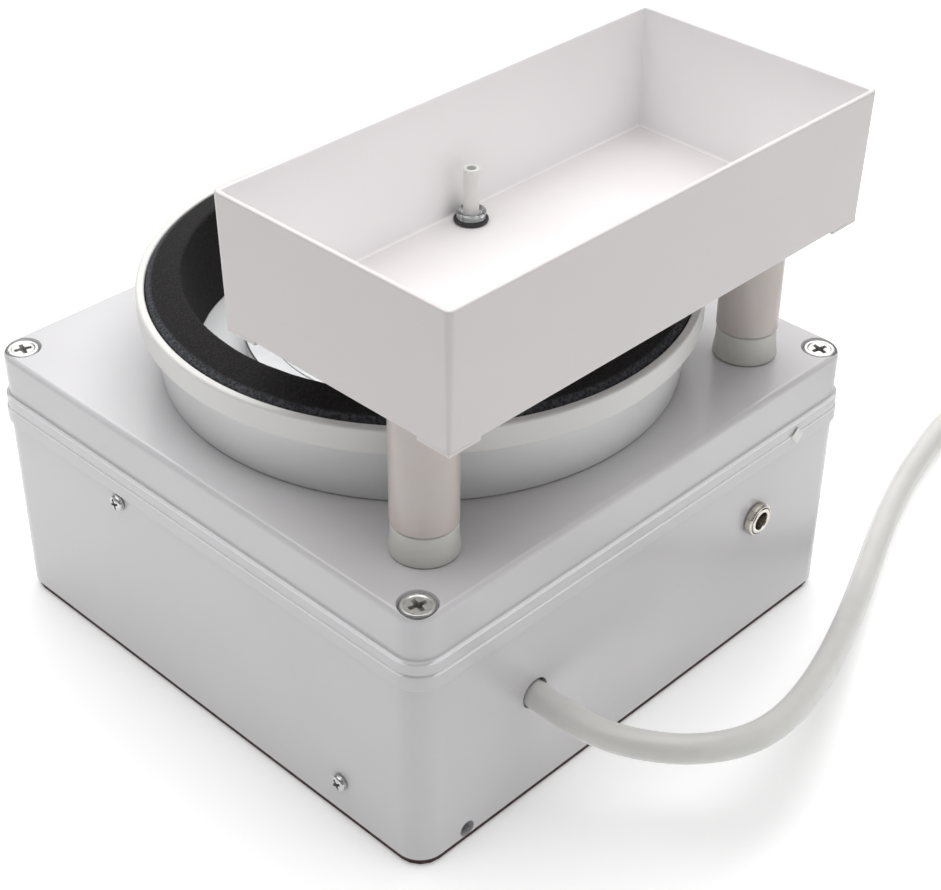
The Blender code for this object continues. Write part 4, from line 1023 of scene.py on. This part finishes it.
lid_head = turned(
    [
        (0, 0.0022), (0.0036, 0.0022), (0.0040, 0.0025, 0.0002), (0.0048, 0.0025, 0.0003),
        (0.0051, 0.0020, 0.0003), (0.0051, 0, 0.0002), (0.0020, 0), (0.0020, -0.0290),
        (0.0008, -0.0310), (0, -0.0310),
    ],
    48, zinc, hold=0.0,
)
lid_head = cut(lid_head, [cross_cutter(0.0030, 0.00072, 0.0022, 0.0020)])
# painted shade: marks the cross recess of the lid screws, which is painted darker
mark(lid_head, "recess", lambda at: 0.0 < at.z < 0.0020 and at.xy.length < 0.0032)
corner_places = [
    (x * LID_SCREW_AT, y * LID_SCREW_AT, seat + 0.0003)
    for x, y in ((1, 1), (-1, 1), (-1, -1), (1, -1))
]
lid_screws = set_down(lid_head, corner_places, zinc, turn_by=1.5, seed=3)
piece(
    "lid_screws", lid_screws, zinc, "base", "lid_screw_zinc",
    "lid_screw_1", "lid_screw_2", "lid_screw_3", "lid_screw_4",
)

panel_head = turned(
    [
        (0, 0.0019), (0.0016, 0.0019, 0.0006), (0.0027, 0.0014, 0.0007), (0.0029, 0, 0.0002),
        (0.0016, 0), (0.0016, -0.0110), (0, -0.0120),
    ],
    40, steel, hold=0.0,
)
panel_head = cut(panel_head, [cross_cutter(0.0019, 0.00042, 0.0019, 0.0013)])
# painted shade: marks the cross recess of the panel screws, which is painted darker
mark(panel_head, "recess", lambda at: 0.0 < at.z < 0.0012 and at.xy.length < 0.0019)
front_wall = -BOX_SIDE / 2 + 0.0010
panel_screws = set_down(
    panel_head, [(x, front_wall - 0.0003, z) for x, z in panel_places], steel,
    lay=(math.pi / 2, 0, 0), turn_by=1.5, seed=8,
)
piece("panel_screws", panel_screws, steel, "base", "steel", "driver_screw_1", "driver_screw_2")

# %% [markdown]
# ## Legs and sockets
# Each leg is two parts. A socket stays screwed to the lid, and a tube slides over its spigot and
# lifts off together with the tray. The tube is a hair wider than the socket, which draws the
# small shadow line between them.

# %% Sockets
socket_low, socket_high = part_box("post_socket_front")
s0, s_top = socket_low.z, socket_high.z
s_step = s_top - 0.0200
socket = turned(
    [
        (0, s0 + 0.0103), (0.0025, s0 + 0.0103), (0.0025, s0), (0.01040, s0, 0.0003),
        (0.01032, s0 + 0.0014, 0.0020), (0.00985, s0 + 0.0046, 0.0060), (0.0097, s_step, 0.0007),
        (0.0076, s_step), (0.0076, s_top, 0.0008), (0, s_top),
    ],
    72, socket_white,
)
piece(
    "leg_sockets", set_down(socket, post_places, socket_white), socket_white, "base",
    "socket_plastic", "post_socket_front", "post_socket_back",
)

# %% Legs
leg_low, leg_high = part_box("tray_leg_front")
leg = turned(
    [
        (0.0100, leg_low.z, 0.0004), (0.0100, leg_high.z, 0.0004), (0.0079, leg_high.z),
        (0.0079, leg_low.z, 0.0004),
    ],
    72, leg_white,
)
piece(
    "legs", set_down(leg, post_places, leg_white), leg_white, "tray", "tray_plastic",
    "tray_leg_front", "tray_leg_back",
)

# %% [markdown]
# ## Water tray
# The tray is an open moulded box whose walls lean outwards by a millimetre, and its lip is
# round. Four low feet stand under its corners, and a short collar grips the top of each leg. A
# mark tells the inside from the outside: painted light on the inside of the walls, painted shade
# outside.

# %% Tray
tray_low, tray_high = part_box("water_tray")
z_tray = leg_high.z + 0.0003
tray_w, tray_l = tray_high.x - tray_low.x, tray_high.y - tray_low.y
tray_mid = tuple(middle_of("water_tray").xy)
tray_section = softened(
    [
        (0.0200, z_tray), (0.0010, z_tray, 0.0006), (0.0, tray_high.z, 0.0006),
        (0.0018, tray_high.z, 0.0006), (0.0028, z_tray + 0.0020, 0.0010), (0.0200, z_tray + 0.0020),
    ],
    closed=False,
)
tray_rings = [
    rounded_ring(
        tray_w - 2 * inset, tray_l - 2 * inset, max(0.0022 - inset, 0.0006), height, 6, tray_mid
    )
    for inset, height in tray_section
]
valve_low, valve_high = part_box("valve_body")
valve_at = (*middle_of("valve_body").xy, 0)
tray_mesh = cut(
    tidied(skin(tray_rings)),
    [drill(0.0037, z_tray - 0.001, z_tray + 0.003, valve_at, sides=48)],
)


def inside_painted_light(at):
    """How much painted light: 1 on the inside of the walls, less on the floor and 0 on the outside.
    """
    from_wall = min(
        tray_w / 2 - abs(at.x - tray_mid[0]), tray_l / 2 - abs(at.y - tray_mid[1])
    )
    if from_wall < 0.0014 or at.z < z_tray + 0.0010:
        return 0.0
    return 0.3 if at.z < z_tray + 0.0021 else 1.0


# painted light: this mark sets how much lighter each point of the tray is drawn
mark(tray_mesh, "inside", inside_painted_light)
piece("tray", tray_mesh, tray_white, "tray", "tray_plastic", "water_tray")


# %% Feet and collars of the tray
def slab(low, high, rounding):
    """A block between two corners with small round edges."""
    bm = bmesh.new()
    bmesh.ops.create_cube(bm, size=1.0)
    low, high = Vector(low), Vector(high)
    bmesh.ops.scale(bm, vec=high - low, verts=bm.verts[:])
    bmesh.ops.translate(bm, vec=(low + high) / 2, verts=bm.verts[:])
    bmesh.ops.bevel(
        bm, geom=bm.edges[:], offset=rounding, segments=2, affect="EDGES", profile=0.5
    )
    return tidied(bm)


foot = slab((-0.0060, -0.0060, -0.0012), (0.0060, 0.0060, 0.0005), 0.0004)
foot_x, foot_y = tray_w / 2 - 0.0011 - 0.0060, tray_l / 2 - 0.0011 - 0.0060
foot_places = [
    (tray_mid[0] + x, tray_mid[1] + y, z_tray)
    for x in (-foot_x, foot_x) for y in (-foot_y, foot_y)
]
piece("tray_feet", set_down(foot, foot_places, tray_white), tray_white, "tray", "tray_plastic")

collar = turned(
    [
        (0.0103, z_tray - 0.0030, 0.0003), (0.0118, z_tray - 0.0030, 0.0004),
        (0.0118, z_tray + 0.0005), (0.0103, z_tray + 0.0005),
    ],
    64, tray_white,
)
piece("leg_collars", set_down(collar, post_places, tray_white), tray_white, "tray", "tray_plastic")

# %% [markdown]
# ## Drip valve
# A clear cup passes through the tray's floor, sealed by a black ring, and a milky stem stands in
# it. Pulling the stem up lets water drip out below.

# %% Valve
cup_z0, cup_z1 = valve_low.z, valve_high.z
seal_low, seal_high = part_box("valve_seal")
stem_low, stem_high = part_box("valve_stem")
cup_seat = seal_high.z + 0.0003
cup = turned(
    [
        (0.0013, cup_z0), (0.0024, cup_z0, 0.0003), (0.0024, cup_z0 + 0.0080, 0.0003),
        (0.0034, cup_z0 + 0.0080, 0.0003), (0.0034, cup_seat), (0.0046, cup_seat, 0.0002),
        (0.0046, cup_z1, 0.0003), (0.0037, cup_z1, 0.0002), (0.0029, cup_z1 - 0.0012),
        (0.0029, cup_z1 - 0.0030),
        (0.0013, cup_z1 - 0.0030),
    ],
    48, clear_plastic, valve_at, hold=0.0,
)
piece("valve_cup", cup, clear_plastic, "tray", "clear_plastic", "valve_body")

ring = turned(
    [
        (0.0037, seal_low.z, 0.0003), (0.0054, seal_low.z, 0.0003),
        (0.0054, seal_high.z, 0.0003), (0.0037, seal_high.z, 0.0003),
    ],
    56, rubber_black, valve_at, hold=0.0,
)
piece("valve_ring", ring, rubber_black, "tray", "black_rubber", "valve_seal")

top = stem_high.z
stem = turned(
    [
        (0, top - 0.0060), (0.00145, top - 0.0060), (0.0015, top, 0.0002), (0.0025, top, 0.0004),
        (0.0026, top - 0.0030, 0.0010), (0.0024, top - 0.0060, 0.0020),
        (0.0025, stem_low.z, 0.0003), (0, stem_low.z),
    ],
    44, stem_white, valve_at, hold=0.0,
)
piece("drip_stem", stem, stem_white, "drip_plug", "white_plastic", "valve_stem")

# %% [markdown]
# ## Power jack
# The jack is a round barrel with a pin in its middle. A knurled collar holds it in the wall. A
# knurl is one small ridge repeated round a circle, which is exactly what instances are for. The
# tree makes its own circle, so it doesn't use the mesh that the modifier hands it as its start.

# %% Tree of the knurl
knurl_tree, given, result = new_tree(
    "Knurl", ("Start", "Geometry"), ("Ridge", "Object"), ("Radius", "Float"),
    ("Count", "Int"), ("Finish", "Material"),
)
circle = knurl_tree.nodes.new("GeometryNodeMeshCircle")
fetch = knurl_tree.nodes.new("GeometryNodeObjectInfo")
place = knurl_tree.nodes.new("GeometryNodeInstanceOnPoints")
index = knurl_tree.nodes.new("GeometryNodeInputIndex")
share = knurl_tree.nodes.new("ShaderNodeMath")
share.operation = "DIVIDE"
full_turn = knurl_tree.nodes.new("ShaderNodeMath")
full_turn.operation = "MULTIPLY"
full_turn.inputs[1].default_value = math.tau
about = knurl_tree.nodes.new("ShaderNodeCombineXYZ")
wire(
    knurl_tree, (given.outputs["Count"], circle.inputs["Vertices"]),
    (given.outputs["Radius"], circle.inputs["Radius"]),
    (circle.outputs["Mesh"], place.inputs["Points"]),
    (given.outputs["Ridge"], fetch.inputs["Object"]),
    (fetch.outputs["Geometry"], place.inputs["Instance"]),
    (index.outputs[0], share.inputs[0]), (given.outputs["Count"], share.inputs[1]),
    (share.outputs[0], full_turn.inputs[0]), (full_turn.outputs[0], about.inputs["Z"]),
    (about.outputs["Vector"], place.inputs["Rotation"]),
)
finished(knurl_tree, given, result, place.outputs["Instances"])
print(knurl_tree.name, "has", len(knurl_tree.nodes), "nodes")

# %% Jack
mouth = jack_high.x
barrel = turned(
    [
        (0, mouth - 0.0120), (0.0031, mouth - 0.0120), (0.0031, mouth, 0.0003),
        (0.0045, mouth, 0.0003), (0.0045, 0.0965), (0.0062, 0.0965, 0.0003),
        (0.0062, 0.0941, 0.0003), (0.0045, 0.0941), (0.0045, jack_low.x, 0.0004), (0, jack_low.x),
    ],
    56, nickel, jack_at, ALONG_X, hold=0.0,
)
piece("jack_barrel", barrel, nickel, "base", "nickel", "jack_body")

COLLAR_R = 0.00545
n0, n1 = 0.0993, 0.1019
collar_core = turned(
    [
        (0.0048, n0), (COLLAR_R, n0, 0.0002), (COLLAR_R, n1 - 0.0005), (0.0051, n1, 0.0002),
        (0.0048, n1),
    ],
    56, nickel, hold=0.0,
)
profile = ((-0.0003, -0.00030), (0.00024, -0.00008), (0.00024, 0.00008), (-0.0003, 0.00030))
ridge_rings = [[(x, y, z) for x, y in profile] for z in (n0 + 0.0003, n1 - 0.0005)]
ridge_rings.append([(x - 0.0002, y * 0.7, n1 - 0.0003) for x, y in profile])
ridge = bpy.data.objects.new("ridge", tidied(skin(ridge_rings)))
holder = bpy.data.objects.new("knurl", bpy.data.meshes.new("knurl"))
for made in (ridge, holder):
    bpy.context.scene.collection.objects.link(made)
RIDGES = 44
knurl = grown(holder, knurl_tree, Ridge=ridge, Radius=COLLAR_R, Count=RIDGES, Finish=nickel)
bpy.data.objects.remove(ridge)
both = bmesh.new()
both.from_mesh(collar_core)
both.from_mesh(knurl)
collar_mesh = bpy.data.meshes.new("collar")
both.to_mesh(collar_mesh)
both.free()
collar_mesh.transform(Matrix.Translation(jack_at) @ ALONG_X)
piece("jack_collar", collar_mesh, nickel, "base", "nickel", "jack_nut")
print("knurl has", RIDGES, "ridges")

# %% [markdown]
# ## Wheel
# The disc is mostly hidden under the tray. It is made as turned aluminium with five shallow
# centring rings, which help a potter to place the clay.

# %% Wheel disc
disc_low, disc_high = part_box("wheel_disc")
d0, d1 = disc_low.z, disc_high.z
disc_corners = [(0.0023, d0), (0.0575, d0, 0.0005), (0.0575, d1, 0.0006)]
for radius in (0.050, 0.040, 0.030, 0.020, 0.012):
    disc_corners += [
        (radius + 0.0003, d1), (radius + 0.0001, d1 - 0.0003), (radius - 0.0001, d1 - 0.0003),
        (radius - 0.0003, d1),
    ]
disc_corners += [(0.0053, d1), (0.0023, d1 - 0.0030)]
disc = turned(disc_corners, 144, turned_aluminium)
piece("throwing_disc", disc, turned_aluminium, "wheel", "aluminium", "wheel_disc")

# %% [markdown]
# ## Sticker
# A small blank sticker sits on the right wall at the seam between box and lid. It is a thin
# sheet with round corners, turned a little.

# %% Sticker
label_mid = middle_of("seam_label").yz
sticker_rings = []
for x, shrink in ((0.10012, 0.0), (0.10025, 0.00002), (0.10030, 0.0001)):
    flat = rounded_ring(0.0042 - 2 * shrink, 0.0052 - 2 * shrink, 0.0005, 0, 4)
    c, s = math.cos(math.radians(40)), math.sin(math.radians(40))
    sticker_rings.append([
        (x, label_mid[0] + c * a - s * b, label_mid[1] + s * a + c * b) for a, b, _ in flat
    ])
piece("sticker", skin(sticker_rings), paper, "base", "paper", "seam_label")

# %% [markdown]
# ## CAD solids that stay
# The pad, the gasket, the drive and the electronics are right as they are in the CAD model.
# They only need better finishes in place of the plain ones.

# %% Finishes for the CAD solids
CAD_FINISHES = {
    pad_brown: ("base_pad",),
    rubber_black: ("lid_gasket", "shaft_seal"),
    steel: (
        "basin_screw_1", "basin_screw_2", "basin_screw_3", "basin_screw_4", "driver_nut_1",
        "driver_nut_2", "motor_end_cap", "motor_plate", "shaft_bearing", "socket_screw_front",
        "socket_screw_back", "wheel_screw", "wheel_shaft",
    ),
    aluminium: ("gearbox", "driver_heat_sink", "driver_plate", "wheel_hub"),
    brass: ("driver_spacer_left", "driver_spacer_right", "jack_pin"),
    black_plastic: ("motor_can", "driver_capacitor", "power_lead", "motor_lead", "hose_tie"),
    stem_white: ("drain_fitting", "drain_nut", "valve_nut"),
    board_green: ("driver_board",),
    hose_milky: ("inner_hose",),
}
for finish, names in CAD_FINISHES.items():
    for name in names:
        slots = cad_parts[name].data.materials
        for k in range(len(slots)):
            slots[k] = finish
        if not len(slots):
            slots.append(finish)
left_out = [
    name for name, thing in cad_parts.items()
    if not thing.hide_render and not any(name in names for names in CAD_FINISHES.values())
]
print("CAD solids without a finish:", left_out)

# %% [markdown]
# ## Floor and light
# A white table and one large soft lamp overhead give pale faces and soft shadows. Three weaker
# lamps fill in: one behind, one on the left for the front wall and one on the right. The table
# glows a little, so that it stays white away from the lamp.

# %% Floor
floor_bm = bmesh.new()
bmesh.ops.create_grid(floor_bm, x_segments=1, y_segments=1, size=6.0)
floor_mesh = bpy.data.meshes.new("floor")
floor_bm.to_mesh(floor_mesh)
floor_bm.free()
floor_mesh.transform(Matrix.Translation((0, 0, -0.0002)))
floor = bpy.data.objects.new("floor", floor_mesh)
bpy.context.scene.collection.objects.link(floor)
table_white = surface("table_white", (0.92, 0.92, 0.92), 0.75, Specular_IOR_Level=0.1)
shader_of(table_white).inputs["Emission Color"].default_value = (1.0, 1.0, 1.0, 1.0)
shader_of(table_white).inputs["Emission Strength"].default_value = 0.25
floor_mesh.materials.append(table_white)
print("floor reaches", max(point.co.x for point in floor_mesh.vertices), "m each way")


# %% Light
def soft_light(name, at, towards, size, power):
    """A square lamp that points from one place to another."""
    lamp = bpy.data.lights.new(name, "AREA")
    lamp.shape, lamp.size, lamp.energy = "SQUARE", size, power
    thing = bpy.data.objects.new(name, lamp)
    bpy.context.scene.collection.objects.link(thing)
    thing.location = at
    way = Vector(towards) - Vector(at)
    thing.rotation_euler = way.to_track_quat("-Z", "Y").to_euler()


soft_light("overhead", (-0.18, 0.16, 1.20), (0, 0, 0.05), 1.7, 23.0)
soft_light("back_panel", (-0.80, 0.82, 0.90), (0, 0, 0.08), 1.0, 2.6)
soft_light("left_fill", (-0.90, -1.30, 0.60), (0, 0, 0.08), 0.8, 1.1)
soft_light("right_fill", (1.40, 0.70, 0.60), (0, 0, 0.10), 0.9, 2.5)

world = bpy.data.worlds.new("studio")
bpy.context.scene.world = world
world.use_nodes = True
world.node_tree.nodes["Background"].inputs["Color"].default_value = (1.0, 1.0, 1.0, 1.0)
world.node_tree.nodes["Background"].inputs["Strength"].default_value = 0.16
bpy.context.scene.view_settings.view_transform = "Standard"
